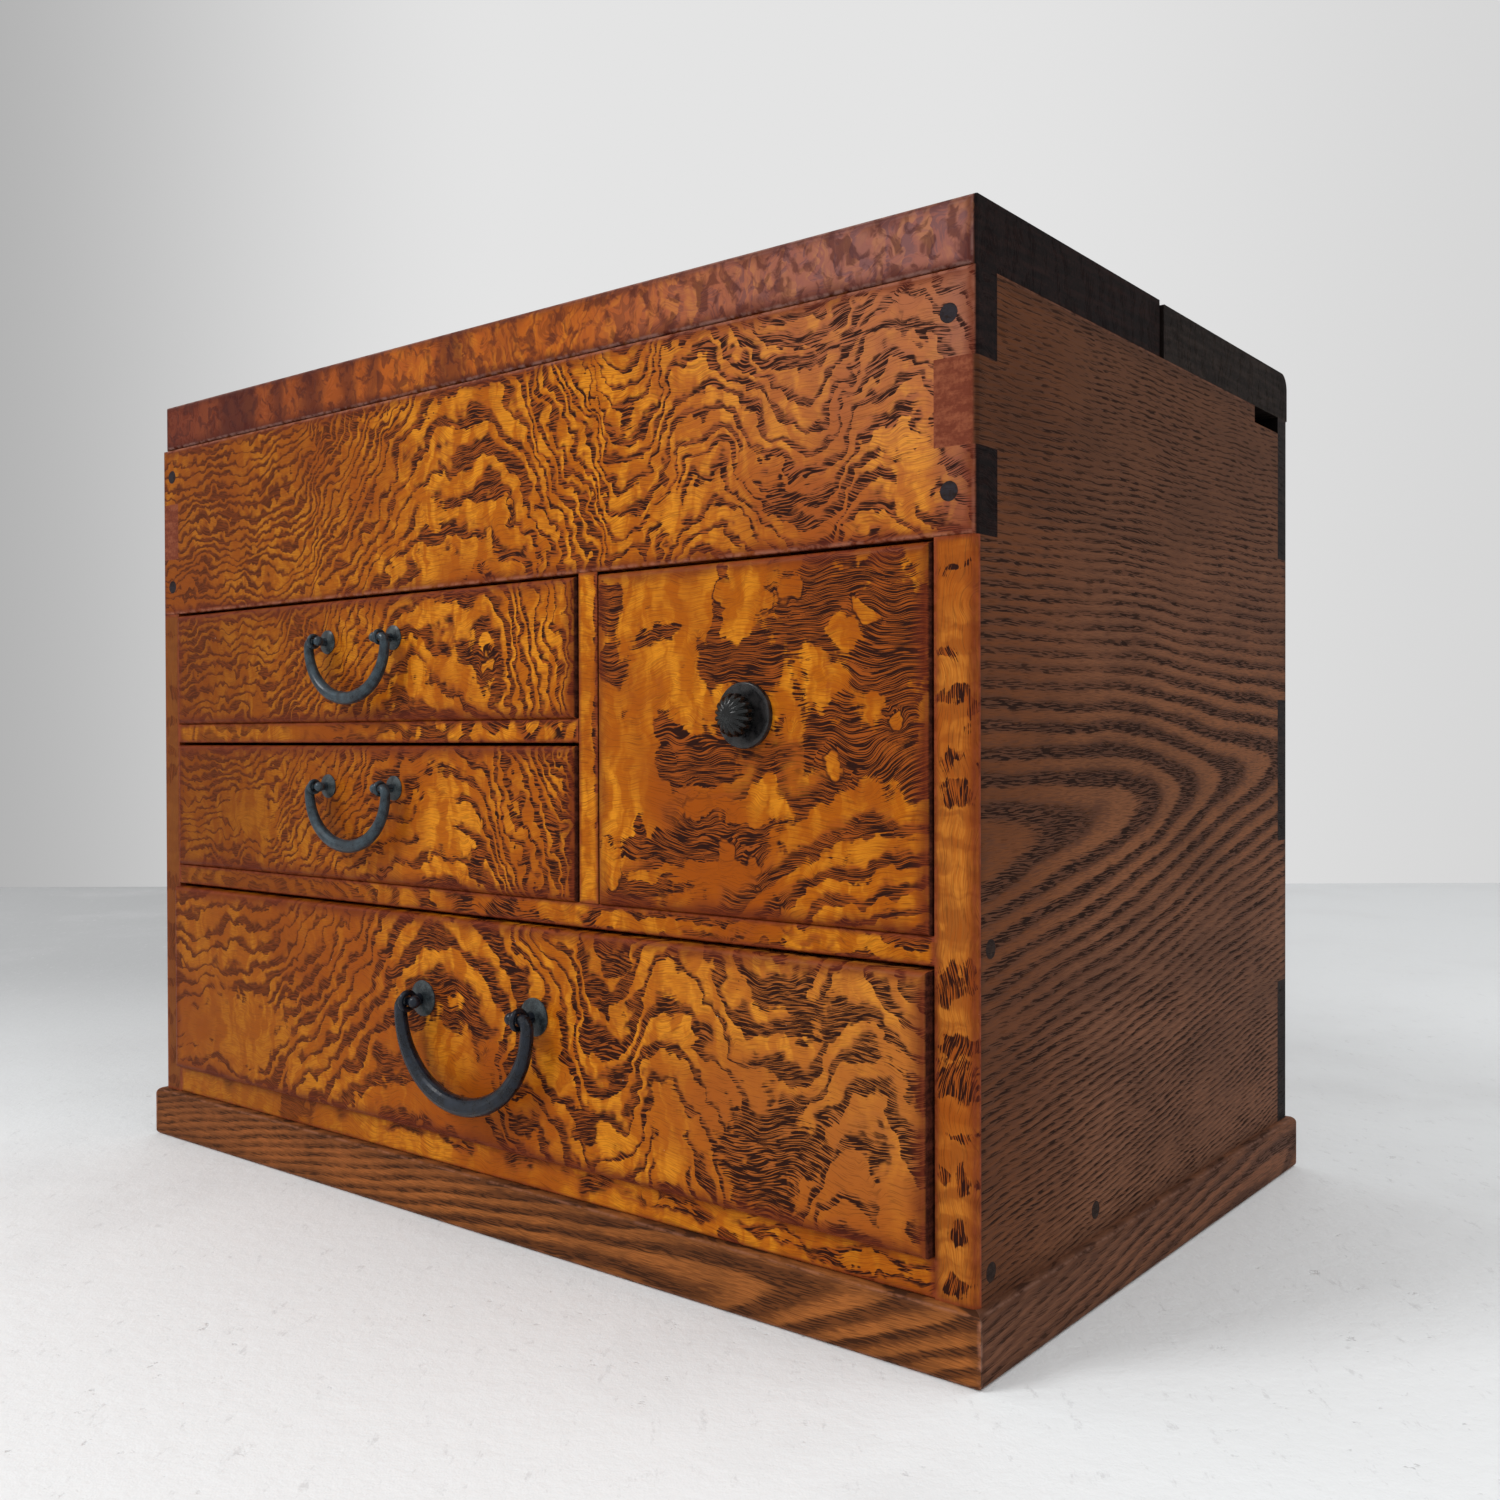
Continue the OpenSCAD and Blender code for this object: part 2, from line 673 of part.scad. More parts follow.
// Two split posts: an eye in front, legs through the board, ends bent flat inside
module posts(at, pull) {
    wire = wire_r(pull);
    eye = neck_r(pull) + eye_fit + wire;
    reach = eye_out(pull);
    color(iron) for (s = [-1, 1])
        translate([at[0] + s * eye_gap(pull) / 2, at[1], at[2]]) {
            difference() {
                union() {
                    translate([0, -reach, 0])
                        rotate([0, 90, 0])
                            rotate_extrude() translate([eye, 0]) circle(wire);
                    bar_y(-reach + eye, front_t + 2 * wire, 0, 0, post_r(pull));
                }
                board(-post_r(pull) - eps, post_r(pull) + eps, -reach, front_t + 2 * wire + eps,
                      -split / 2, split / 2);
                bar_x(-2 * post_r(pull), 2 * post_r(pull), -reach, 0, neck_r(pull) + eye_fit);
            }
            for (up = [0, 1])
                mirror([0, 0, up])
                    translate([0, front_t + wire, wire]) {
                        cylinder(h = clinch_l, r = wire);
                        translate([0, 0, clinch_l]) sphere(wire);
                    }
        }
}

// Points of the bail centre line, from the left elbow down and round to the right one
function elbow_point(l, e, s, a) = [s * (l - e + e * sin(a)), -e + e * cos(a)];
function bow_point(l, e, drop, a) = [-l * cos(a), -e - (drop - e) * sin(a)];

function bail_line(l, e, drop) = concat(
    [for (i = [0 : elbow_steps - 1]) elbow_point(l, e, -1, 90 * i / elbow_steps)],
    [for (i = [0 : bow_steps]) bow_point(l, e, drop, 180 * i / bow_steps)],
    [for (i = [elbow_steps - 1 : -1 : 0]) elbow_point(l, e, 1, 90 * i / elbow_steps)]);

function bail_radius(i, n, leg, bow) = leg + (bow - leg) * pow(sin(180 * i / n), 2);

// Direction of the line at point i, along X at both ends
function line_dir(line, i) =
    i == 0 ? [-1, 0] :
    i == len(line) - 1 ? [-1, 0] :
    (line[i + 1] - line[i - 1]) / norm(line[i + 1] - line[i - 1]);

// A round bar of changing thickness along a line in the XZ plane
module swept_bow(line, leg, bow) {
    n = len(line) - 1;
    points = [
        for (i = [0 : n])
            let (d = line_dir(line, i), r = bail_radius(i, n, leg, bow))
                for (k = [0 : ring_sides - 1])
                    let (a = 360 * k / ring_sides)
                        [line[i][0] - d[1] * r * cos(a), r * sin(a), line[i][1] + d[0] * r * cos(a)]
    ];
    walls = [
        for (i = [0 : n - 1])
            for (k = [0 : ring_sides - 1])
                let (a = i * ring_sides, next = (k + 1) % ring_sides)
                    [a + k, a + next, a + ring_sides + next, a + ring_sides + k]
    ];
    first = [for (k = [ring_sides - 1 : -1 : 0]) k];
    last = [for (k = [0 : ring_sides - 1]) n * ring_sides + k];
    polyhedron(points, concat([first], walls, [last]));
}

// A bail: a bow that thickens downward, two necks in the eyes, a button on each
module bail(at, pull) {
    neck_x = eye_gap(pull) / 2 + wire_r(pull) + eye_fit;
    leg_x = neck_x + elbow_r(pull);
    button_x = eye_gap(pull) / 2 - wire_r(pull) - eye_fit - tip_r(pull);
    color(iron) translate([at[0], at[1] - eye_out(pull), at[2]]) {
        swept_bow(bail_line(leg_x, elbow_r(pull), bail_drop(pull)), leg_r(pull), bow_r(pull));
        for (s = [0, 1])
            mirror([s, 0, 0]) {
                bar_x(button_x, leg_x, 0, 0, neck_r(pull));
                translate([button_x, 0, 0]) sphere(tip_r(pull));
            }
    }
}

// A dished backplate with a raised rim
module knob_plate() {
    hole = knob_stem_r + post_fit;
    reach = knob_plate_r - knob_rim_w;
    dish = (reach * reach + knob_dish * knob_dish) / (2 * knob_dish);
    color(iron) translate(knob_at)
        rotate([90, 0, 0])
            rotate_extrude()
                difference() {
                    translate([hole, 0]) square([knob_plate_r - hole, knob_plate_t]);
                    translate([0, knob_plate_t - knob_dish + dish]) circle(dish, $fn = large_arc);
                    corner_waste(knob_plate_r, knob_plate_t, -1, -1, soft_arris);
                }
}

// Plain head at row i: how far along its length, and its radius there
function head_turn(i) = head_start + (180 - head_start) * i / head_rows;
function head_t(i) = (1 - cos(head_turn(i))) / 2;
function head_r(i) = knob_r * sin(head_turn(i));

// The fluted head as one closed skin, its tip toward -Y
module fluted_head() {
    n = flutes * points_per_flute;
    rings = [
        for (i = [0 : head_rows - 1])
            let (r = head_r(i), bite = flute_depth * r / knob_r)
                for (k = [0 : n - 1])
                    let (a = 360 * k / n, cut = pow(abs(cos(180 * k / points_per_flute)), flute_edge))
                        [(r - bite * cut) * cos(a), -knob_l * head_t(i), (r - bite * cut) * sin(a)]
    ];
    tip = [0, -knob_l, 0];
    walls = [
        for (i = [0 : head_rows - 2])
            for (k = [0 : n - 1])
                let (a = i * n, next = (k + 1) % n)
                    [a + n + k, a + n + next, a + next, a + k]
    ];
    cap = [for (k = [0 : n - 1]) [n * head_rows, (head_rows - 1) * n + (k + 1) % n, (head_rows - 1) * n + k]];
    base = [for (k = [0 : n - 1]) k];
    polyhedron(concat(rings, [tip]), concat([base], walls, cap));
}

module knob()
    color(iron) translate(knob_at) {
        translate([0, -knob_neck_l, 0]) fluted_head();
        bar_y(-knob_neck_l - knob_l / 2, front_t + rove_t + rivet, 0, 0, knob_stem_r);
    }

module knob_rove()
    color(iron) translate(knob_at)
        difference() {
            bar_y(front_t, front_t + rove_t, 0, 0, rove_r);
            bar_y(front_t - eps, front_t + rove_t + eps, 0, 0, knob_stem_r + post_fit);
        }

module plinth_front() color(dark_wood) plinth_long(-1);
module plinth_back() color(dark_wood) plinth_long(1);
module plinth_left() color(dark_wood) plinth_short(-1);
module plinth_right() color(dark_wood) plinth_short(1);

module side_left() side_board(-1);
module side_right() side_board(1);
module stile_left() stile(-1);
module stile_right() stile(1);

module compartment_floor() color(plain_wood) floor_blank(0);
module middle_shelf() color(plain_wood) middle_shelf_blank(0);
module small_shelf() color(plain_wood) small_shelf_blank(0);
module ruler_ledge() color(plain_wood) ledge_blank(0);

module bottom_board()
    color(plain_wood) difference() {
        board(-inner_x, inner_x, rail_back, back_inner, plinth_h, wide_z);
        side_peg_set(peg_fit);
    }

module bottom_rail() rail(-inner_x, inner_x, plinth_h, wide_z);
module middle_rail() rail(-inner_x, inner_x, middle_rail_z, middle_z);
module small_rail() rail(-inner_x, divider_x0, small_rail_z, upper_z);

module front_pegs() color(peg_wood) front_peg_set(0);
module side_pegs() color(peg_wood) side_peg_set(0);

module hinge_leaves_rear() hinge_leaves(1, [0, 2], [1]);
module hinge_leaves_lid() hinge_leaves(-1, [1], [0, 2]);

module upper_drawer_front() drawer_front(upper_open) post_holes(upper_pull, small_pull);
module upper_drawer_left() drawer_side(upper_open, false);
module upper_drawer_right() drawer_side(upper_open, true);
module upper_drawer_back() drawer_back(upper_open);
module upper_drawer_bottom() drawer_bottom(upper_open);
module upper_plates() plates(upper_pull, small_pull);
module upper_posts() posts(upper_pull, small_pull);
module upper_bail() bail(upper_pull, small_pull);

module middle_drawer_front() drawer_front(middle_open) post_holes(middle_pull, small_pull);
module middle_drawer_left() drawer_side(middle_open, false);
module middle_drawer_right() drawer_side(middle_open, true);
module middle_drawer_back() drawer_back(middle_open);
module middle_drawer_bottom() drawer_bottom(middle_open);
module middle_plates() plates(middle_pull, small_pull);
module middle_posts() posts(middle_pull, small_pull);
module middle_bail() bail(middle_pull, small_pull);

module tall_drawer_front()
    drawer_front(tall_open)
        bar_y(knob_at[1] - eps, knob_at[1] + front_t + eps, knob_at[0], knob_at[2],
              knob_stem_r + post_fit);
module tall_drawer_left() drawer_side(tall_open, false);
module tall_drawer_right() drawer_side(tall_open, true);
module tall_drawer_back() drawer_back(tall_open);
module tall_drawer_bottom() drawer_bottom(tall_open);

module wide_drawer_front() drawer_front(wide_open) post_holes(wide_pull, large_pull);
module wide_drawer_left() drawer_side(wide_open, false);
module wide_drawer_right() drawer_side(wide_open, true);
module wide_drawer_back() drawer_back(wide_open);
module wide_drawer_bottom() drawer_bottom(wide_open);
module wide_plates() plates(wide_pull, large_pull);
module wide_posts() posts(wide_pull, large_pull);
module wide_bail() bail(wide_pull, large_pull);

plinth_front();
plinth_back();
plinth_left();
plinth_right();
side_left();
side_right();
stile_left();
stile_right();
front_panel();
back_panel();
rear_top_board();
compartment_floor();
bottom_board();
bottom_rail();
middle_rail();
middle_shelf();
small_rail();
small_shelf();
divider();
ruler_ledge();
ruler_fence();
front_pegs();
side_pegs();
hinge_leaves_rear();
hinge_pins();
lid_board();
hinge_leaves_lid();
upper_drawer_front();
upper_drawer_left();
upper_drawer_right();
upper_drawer_back();
upper_drawer_bottom();
upper_plates();
upper_posts();
upper_bail();
middle_drawer_front();
middle_drawer_left();
middle_drawer_right();
middle_drawer_back();
middle_drawer_bottom();
middle_plates();
middle_posts();
middle_bail();
tall_drawer_front();
tall_drawer_left();
tall_drawer_right();
tall_drawer_back();
tall_drawer_bottom();
knob_plate();
knob();
knob_rove();
wide_drawer_front();
wide_drawer_left();
wide_drawer_right();
wide_drawer_back();
wide_drawer_bottom();
wide_plates();
wide_posts();
wide_bail();
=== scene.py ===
import math

import bmesh
import bpy
from mathutils import Matrix, Vector


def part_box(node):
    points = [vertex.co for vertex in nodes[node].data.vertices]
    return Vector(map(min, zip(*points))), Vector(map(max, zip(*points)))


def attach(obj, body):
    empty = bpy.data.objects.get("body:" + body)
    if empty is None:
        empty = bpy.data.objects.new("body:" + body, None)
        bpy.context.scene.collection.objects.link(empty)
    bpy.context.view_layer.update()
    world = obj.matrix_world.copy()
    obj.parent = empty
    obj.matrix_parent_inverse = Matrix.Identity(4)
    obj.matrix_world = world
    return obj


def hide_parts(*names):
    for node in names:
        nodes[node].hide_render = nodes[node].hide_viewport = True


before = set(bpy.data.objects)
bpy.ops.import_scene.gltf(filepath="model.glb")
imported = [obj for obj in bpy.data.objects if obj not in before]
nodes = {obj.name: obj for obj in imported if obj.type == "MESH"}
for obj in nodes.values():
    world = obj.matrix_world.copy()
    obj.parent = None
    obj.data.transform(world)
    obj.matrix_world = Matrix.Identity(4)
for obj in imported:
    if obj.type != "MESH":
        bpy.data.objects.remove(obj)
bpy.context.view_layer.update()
print("frame loaded:", len(nodes), "boards and fittings")


# Small helpers for shader trees

def paint(red, green, blue):
    # display values 0-255 to the linear colour that a socket takes
    def linear(value):
        value = value / 255
        return value / 12.92 if value <= 0.04045 else ((value + 0.055) / 1.055) ** 2.4
    return (linear(red), linear(green), linear(blue), 1.0)


bench = {"tree": None}     # the shader tree in hand, which every helper adds to


def feed(socket, value):
    if isinstance(value, bpy.types.NodeSocket):
        bench["tree"].links.new(value, socket)
    else:
        socket.default_value = value


def addNode(kind, feeds=None, **settings):
    node = bench["tree"].nodes.new("ShaderNode" + kind)
    for name, value in settings.items():
        setattr(node, name, value)
    for key, value in (feeds or {}).items():
        feed(node.inputs[key], value)
    return node


def calc(operation, first, second=0.0, third=0.0):
    return addNode("Math", {0: first, 1: second, 2: third}, operation=operation).outputs[0]


def times(first, second):
    return calc("MULTIPLY", first, second)


def plus(first, second):
    return calc("ADD", first, second)


def minus(first, second):
    return calc("SUBTRACT", first, second)


def timesPlus(first, second, third):
    return calc("MULTIPLY_ADD", first, second, third)


def vectorCalc(operation, first, second):
    return addNode("VectorMath", {0: first, 1: second}, operation=operation).outputs[0]


def scaled(vector, factor):
    return addNode("VectorMath", {0: vector, "Scale": factor}, operation="SCALE").outputs[0]


def smooth(value, low, high, start=0.0, end=1.0):
    feeds = {"Value": value, "From Min": low, "From Max": high, "To Min": start, "To Max": end}
    return addNode("MapRange", feeds, interpolation_type="SMOOTHSTEP").outputs[0]


def noise(place, scale, detail=2.0, roughness=0.5, output="Fac"):
    feeds = {"Vector": place, "Scale": scale, "Detail": detail, "Roughness": roughness}
    return addNode("TexNoise", feeds).outputs[output]


def mixColour(factor, first, second):
    return addNode("Mix", {0: factor, 6: first, 7: second}, data_type="RGBA").outputs[2]


def mixValue(factor, first, second):
    return addNode("Mix", {0: factor, 2: first, 3: second}).outputs[0]


def split(vector):
    return addNode("SeparateXYZ", {0: vector}).outputs


def join(x, y, z):
    return addNode("CombineXYZ", {0: x, 1: y, 2: z}).outputs[0]


def cellsOf(place, spacing):
    # distance in mm to the middle of the nearest cell, and that cell's own chances
    cells = addNode("TexVoronoi", {"Vector": place, "Scale": calc("DIVIDE", 1.0, spacing)}).outputs
    return times(cells["Distance"], spacing), split(cells["Color"])


def curveNode(value, points):
    node = addNode("FloatCurve", {"Value": value})
    curve = node.mapping.curves[0]
    while len(curve.points) < len(points):
        curve.points.new(0.5, 0.5)
    for point, (x, y) in zip(curve.points, points):
        point.location = (x, y)
    node.mapping.update()
    return node.outputs[0]


def newGroup(name, inputs, outputs):
    # inputs by name, with their defaults: three numbers make a vector, four a colour
    kinds = {1: "Float", 3: "Vector", 4: "Color"}
    tree = bpy.data.node_groups.new(name, "ShaderNodeTree")
    for label, value in inputs.items():
        kind = "NodeSocket" + kinds[1 if isinstance(value, float) else len(value)]
        tree.interface.new_socket(label, in_out="INPUT", socket_type=kind).default_value = value
    for label, kind in outputs.items():
        tree.interface.new_socket(label, in_out="OUTPUT", socket_type="NodeSocket" + kind)
    bench["tree"] = tree
    return tree.nodes.new("NodeGroupInput").outputs, tree.nodes.new("NodeGroupOutput").inputs


def useGroup(name, feeds):
    return addNode("Group", feeds, node_tree=bpy.data.node_groups[name]).outputs


# Shader groups: what several of the finishes share

def makeHillGroup():
    # One soft hill, added to the field that comes in
    given, result = newGroup(
        "softHill",
        {"Field": 0.0, "Place": (0.0, 0.0, 0.0), "Centre": (0.0, 0.0, 0.0),
         "Reach": (10.0, 10.0, 10.0), "Lift": 1.0},
        {"Field": "Float"})
    offset = vectorCalc("SUBTRACT", given["Place"], given["Centre"])
    x, _, z = split(vectorCalc("DIVIDE", offset, given["Reach"]))
    fall = calc("EXPONENT", times(plus(times(x, x), times(z, z)), -1.0))
    feed(result["Field"], timesPlus(fall, given["Lift"], given["Field"]))


def makeSwayGroup():
    # Pushes a place about by soft noise at three sizes
    given, result = newGroup(
        "sway",
        {"Place": (0.0, 0.0, 0.0), "Broad": 6.0, "Middle": 1.6, "Fine": 0.4},
        {"Place": "Vector"})
    moved = given["Place"]
    for scale, amount in ((0.03, "Broad"), (0.1, "Middle"), (0.35, "Fine")):
        cloud = noise(given["Place"], scale, 1.0, 0.5, "Color")
        cloud = vectorCalc("SUBTRACT", cloud, (0.5, 0.5, 0.5))
        moved = vectorCalc("ADD", moved, scaled(cloud, times(given[amount], 2.0)))
    feed(result["Place"], moved)


def makeProfileGroup():
    # Ring count of the figured boards across their width: ripples at the left,
    # steep stripes right of the middle, then nested V and U shapes
    burl = {
        "width": 300.0,
        "lowest": -24.0,
        "span": 26.0,
        # place across the board in mm, rings
        "profile": [(-150, 0), (-86, 0), (-62, -5), (-38, -12), (-16, -17), (0, -17.6), (16, -17.2),
                    (30, -14.2), (45, -10.4), (59, -6.6), (66, -7.4), (80, -10.4), (92, -8.6),
                    (108, -6.4), (118, -7.0), (131, -9.4), (141, -8.0), (150, -6.8)],
        # place across the board in mm, rings per mm of height
        "lean": [(-150, 0.28), (-75, 0.28), (-42, 0.2), (-16, 0.125), (20, 0.11), (45, 0.11),
                 (60, 0.16), (85, 0.17), (150, 0.16)],
    }
    given, result = newGroup("profileRings", {"Place": (0.0, 0.0, 0.0)}, {"Rings": "Float"})
    x, _, z = split(given["Place"])
    across = timesPlus(x, 1 / burl["width"], 0.5)
    profile = [(at / burl["width"] + 0.5, (rings - burl["lowest"]) / burl["span"])
               for at, rings in burl["profile"]]
    lean = [(at / burl["width"] + 0.5, slope) for at, slope in burl["lean"]]
    rings = timesPlus(curveNode(across, profile), burl["span"], burl["lowest"])
    feed(result["Rings"], timesPlus(curveNode(across, lean), z, rings))


def makeEyeGroup():
    # Small round eyes of burl, some cells with one and some without
    given, result = newGroup(
        "burlEyes",
        {"Place": (0.0, 0.0, 0.0), "Spacing": 9.0, "Radius": 2.4, "Chance": 0.35},
        {"Eyes": "Float", "Near": "Float", "Disc": "Float", "Outline": "Float"})
    x, _, z = split(given["Place"])
    distance, chance = cellsOf(join(x, 0.0, z), given["Spacing"])
    size = times(given["Radius"], timesPlus(chance[1], 0.8, 0.5))
    there = calc("GREATER_THAN", chance[0], minus(1.0, given["Chance"]))
    off = calc("ABSOLUTE", minus(distance, size))
    rounds = {
        "Eyes": smooth(distance, size, times(size, 0.35)),
        "Near": smooth(distance, times(size, 2.4), 0.0),    # the grain parts well outside
        "Disc": smooth(distance, size, times(size, 0.8)),
        "Outline": smooth(off, 0.45, 0.1),
    }
    for label, value in rounds.items():
        feed(result[label], times(value, there))


def offLine(given, squeeze, scale):
    # distance from the middle line of the figure, pushed about by noise
    place = join(times(given["Along"], squeeze), given["Across"], 0.0)
    cloud = minus(noise(place, scale, 2.0), 0.5)
    push = times(cloud, times(given["Sway"], 6.0))
    line = timesPlus(given["Along"], given["Tilt"], given["Middle"])
    return plus(minus(given["Across"], line), push)


def makePlainGroup():
    # Ring count of a plain-sawn board: nested loops about a middle line
    given, result = newGroup(
        "plainRings",
        {"Along": 0.0, "Across": 0.0, "Middle": 0.0, "Tilt": 0.0, "Run": 0.03, "Close": 0.04,
         "Sway": 1.0},
        {"Rings": "Float"})
    spread = calc("POWER", calc("ABSOLUTE", offLine(given, 0.3, 0.07)), 1.5)
    rings = times(spread, given["Close"])
    feed(result["Rings"], timesPlus(given["Along"], given["Run"], rings))


def makeLoopGroup():
    # Ring count of the side boards: straight lines that close to nested loops
    # about a line that climbs a little towards the back
    loops = {
        "low": -100.0,
        "span": 200.0,
        "least": -2.0,
        "rings": 8.0,
        "wide": 0.2,         # rings per mm beside the loops
        "round": 8.0,        # how blunt the loops are, mm
        "outside": 22.0,     # where the rings start to close up, mm
        "closing": 0.0035,
        # place along the board in mm, rings on the middle line
        "ends": [(-100, -0.7), (-88, -0.45), (-64, 0), (-11, 1), (15, 2), (42, 3), (82, 4),
                 (100, 4.4)],
    }
    given, result = newGroup(
        "loopRings",
        {"Along": 0.0, "Across": 0.0, "Middle": 0.0, "Tilt": 0.0, "Sway": 1.0},
        {"Rings": "Float"})
    offset = offLine(given, 0.35, 0.09)
    blunt = timesPlus(offset, offset, loops["round"] ** 2)
    spread = times(minus(calc("POWER", blunt, 0.5), loops["round"]), loops["wide"])
    beyond = minus(calc("ABSOLUTE", offset), loops["outside"])
    beyond = calc("POWER", calc("MAXIMUM", beyond, 0.0), 2.0)
    spread = timesPlus(beyond, loops["closing"], spread)
    at = timesPlus(given["Along"], 1 / loops["span"], -loops["low"] / loops["span"])
    points = [((y - loops["low"]) / loops["span"], (rings - loops["least"]) / loops["rings"])
              for y, rings in loops["ends"]]
    middle = timesPlus(curveNode(at, points), loops["rings"], loops["least"])
    feed(result["Rings"], plus(spread, middle))


def makePoreGroup():
    # Broken dark lines of pores along the grain
    given, result = newGroup(
        "poreLines",
        {"Along": 0.0, "Across": 0.0, "Depth": 0.0, "Length": 7.0, "Spacing": 0.8, "Swing": 5.0},
        {"Lines": "Float", "Fibre": "Float"})
    place = join(given["Along"], given["Depth"], given["Across"])
    broad = minus(noise(place, 0.05, 0.0), 0.5)
    small = minus(noise(place, 0.16, 0.0), 0.5)
    across = timesPlus(broad, times(given["Swing"], 2.0), given["Across"])
    across = timesPlus(small, times(given["Swing"], 0.5), across)
    along = calc("DIVIDE", given["Along"], given["Length"])
    depth = calc("DIVIDE", given["Depth"], given["Length"])
    stretched = join(along, depth, calc("DIVIDE", across, given["Spacing"]))
    feed(result["Lines"], noise(stretched, 1.0, 1.0, 0.4))
    feed(result["Fibre"], noise(join(along, depth, times(across, 4.5)), 1.0, 1.0))


def makeBandGroup():
    # Dark early wood in each ring: one crisp edge, one feathered by the pores
    given, result = newGroup(
        "ringBands",
        {"Rings": 0.0, "Lines": 0.5, "Share": 0.5, "Feather": 0.6, "Crisp": 0.06},
        {"Dark": "Float"})
    part = calc("FRACT", given["Rings"])
    rough = minus(given["Lines"], 0.5)
    rise = smooth(timesPlus(rough, 0.2, part), 0.0, given["Crisp"])
    low, high = minus(given["Share"], 0.16), plus(given["Share"], 0.16)
    fall = smooth(timesPlus(rough, given["Feather"], part), high, low)
    feed(result["Dark"], times(rise, fall))


def makeEndGroup():
    # End grain: small close pores on the faces that look along the grain
    given, result = newGroup(
        "endGrain",
        {"Color": (0.5, 0.5, 0.5, 1.0), "Place": (0.0, 0.0, 0.0), "Facing": 0.0,
         "End": (0.03, 0.02, 0.02, 1.0), "Pale": (0.06, 0.04, 0.03, 1.0)},
        {"Color": "Color", "Mask": "Float"})
    mask = smooth(calc("ABSOLUTE", given["Facing"]), 0.6, 0.9)
    pores = noise(given["Place"], 1.1, 3.0, 0.7)
    streaks = noise(vectorCalc("MULTIPLY", given["Place"], (0.2, 0.06, 0.7)), 1.0, 2.0)
    level = mixValue(0.5, pores, streaks)
    tone = mixColour(smooth(level, 0.4, 0.66), given["End"], given["Pale"])
    feed(result["Color"], mixColour(mask, given["Color"], tone))
    feed(result["Mask"], mask)


def makeRimGroup():
    # Distance in mm to the nearest edge of a board with the given corners
    given, result = newGroup(
        "boardRim",
        {"Place": (0.0, 0.0, 0.0), "Low": (0.0, 0.0, 0.0), "High": (1.0, 1.0, 1.0)},
        {"Distance": "Float"})
    below = vectorCalc("SUBTRACT", given["Place"], given["Low"])
    above = vectorCalc("SUBTRACT", given["High"], given["Place"])
    a, b, c = split(vectorCalc("MINIMUM", below, above))
    # the second smallest of the three distances to a face
    middle = calc("MINIMUM", calc("MAXIMUM", a, b), c)
    feed(result["Distance"], calc("MAXIMUM", calc("MINIMUM", a, b), middle))


def makeWearGroup():
    # Handling: grime gathers a little way in, the very edge is worn pale; that pale edge is partly a
    # painted highlight
    given, result = newGroup(
        "rubbedAndHighlitEdges",
        {"Color": (0.5, 0.5, 0.5, 1.0), "Place": (0.0, 0.0, 0.0), "Distance": 50.0,
         "Grime": (0.1, 0.03, 0.02, 1.0), "Grime Reach": 6.0, "Grime Amount": 0.5,
         "Rubbed And Highlight": (0.5, 0.3, 0.2, 1.0), "Rubbed And Highlight Reach": 1.2, "Rubbed And Highlight Amount": 0.6},
        {"Color": "Color", "Rubbed And Highlight": "Float"})
    cloud = noise(given["Place"], 0.12, 3.0, 0.6)
    reach = times(given["Grime Reach"], times(cloud, 2.0))
    grime = times(smooth(given["Distance"], reach, 0.0), given["Grime Amount"])
    colour = mixColour(grime, given["Color"], given["Grime"])
    patch = noise(given["Place"], 0.35, 3.0, 0.65)
    edge = times(smooth(given["Distance"], given["Rubbed And Highlight Reach"], 0.1), smooth(patch, 0.35, 0.62))
    edge = times(edge, given["Rubbed And Highlight Amount"])
    feed(result["Color"], mixColour(edge, colour, given["Rubbed And Highlight"]))
    feed(result["Rubbed And Highlight"], edge)


def makeSpeckGroup():
    # Scattered pale specks of dust and tiny chips
    given, result = newGroup(
        "dustSpecks",
        {"Place": (0.0, 0.0, 0.0), "Spacing": 9.0, "Size": 0.25},
        {"Specks": "Float"})
    distance, chance = cellsOf(given["Place"], given["Spacing"])
    size = times(given["Size"], chance[1])
    feed(result["Specks"], smooth(distance, size, times(size, 0.4)))


def makeForgedGroup():
    # Hammered and blackened iron
    given, result = newGroup(
        "forgedSkin",
        {"Place": (0.0, 0.0, 0.0), "Size": 1.0},
        {"Mottle": "Float", "Height": "Float"})
    scale = calc("DIVIDE", 1.0, given["Size"])
    dents = noise(given["Place"], times(scale, 0.45), 2.0)
    grit = noise(given["Place"], times(scale, 3.5), 3.0, 0.6)
    feed(result["Mottle"], mixValue(0.45, dents, grit))
    feed(result["Height"], mixValue(0.22, dents, grit))


for make in (makeHillGroup, makeSwayGroup, makeProfileGroup, makeEyeGroup, makePlainGroup,
             makeLoopGroup, makePoreGroup, makeBandGroup, makeEndGroup, makeRimGroup, makeWearGroup,
             makeSpeckGroup, makeForgedGroup):
    make()
print("shader groups made:", len(bpy.data.node_groups))


# Finishes

def startMaterial(name):
    material = bpy.data.materials.new(name)
    material.use_nodes = True
    bench["tree"] = material.node_tree
    shader = next(node for node in material.node_tree.nodes if node.type == "BSDF_PRINCIPLED")
    place = scaled(addNode("TexCoord").outputs["Object"], 1000.0)    # in mm
    return material, shader, place


def boardCorners(node):
    low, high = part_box(node)
    return tuple(1000 * value for value in low), tuple(1000 * value for value in high)


def bumpFrom(shader, height, strength, distance=0.0002):
    bump = addNode("Bump", {"Strength": strength, "Distance": distance, "Height": height})
    feed(shader.inputs["Normal"], bump.outputs[0])


def setShader(shader, settings):
    for label, value in settings.items():
        shader.inputs[label].default_value = value


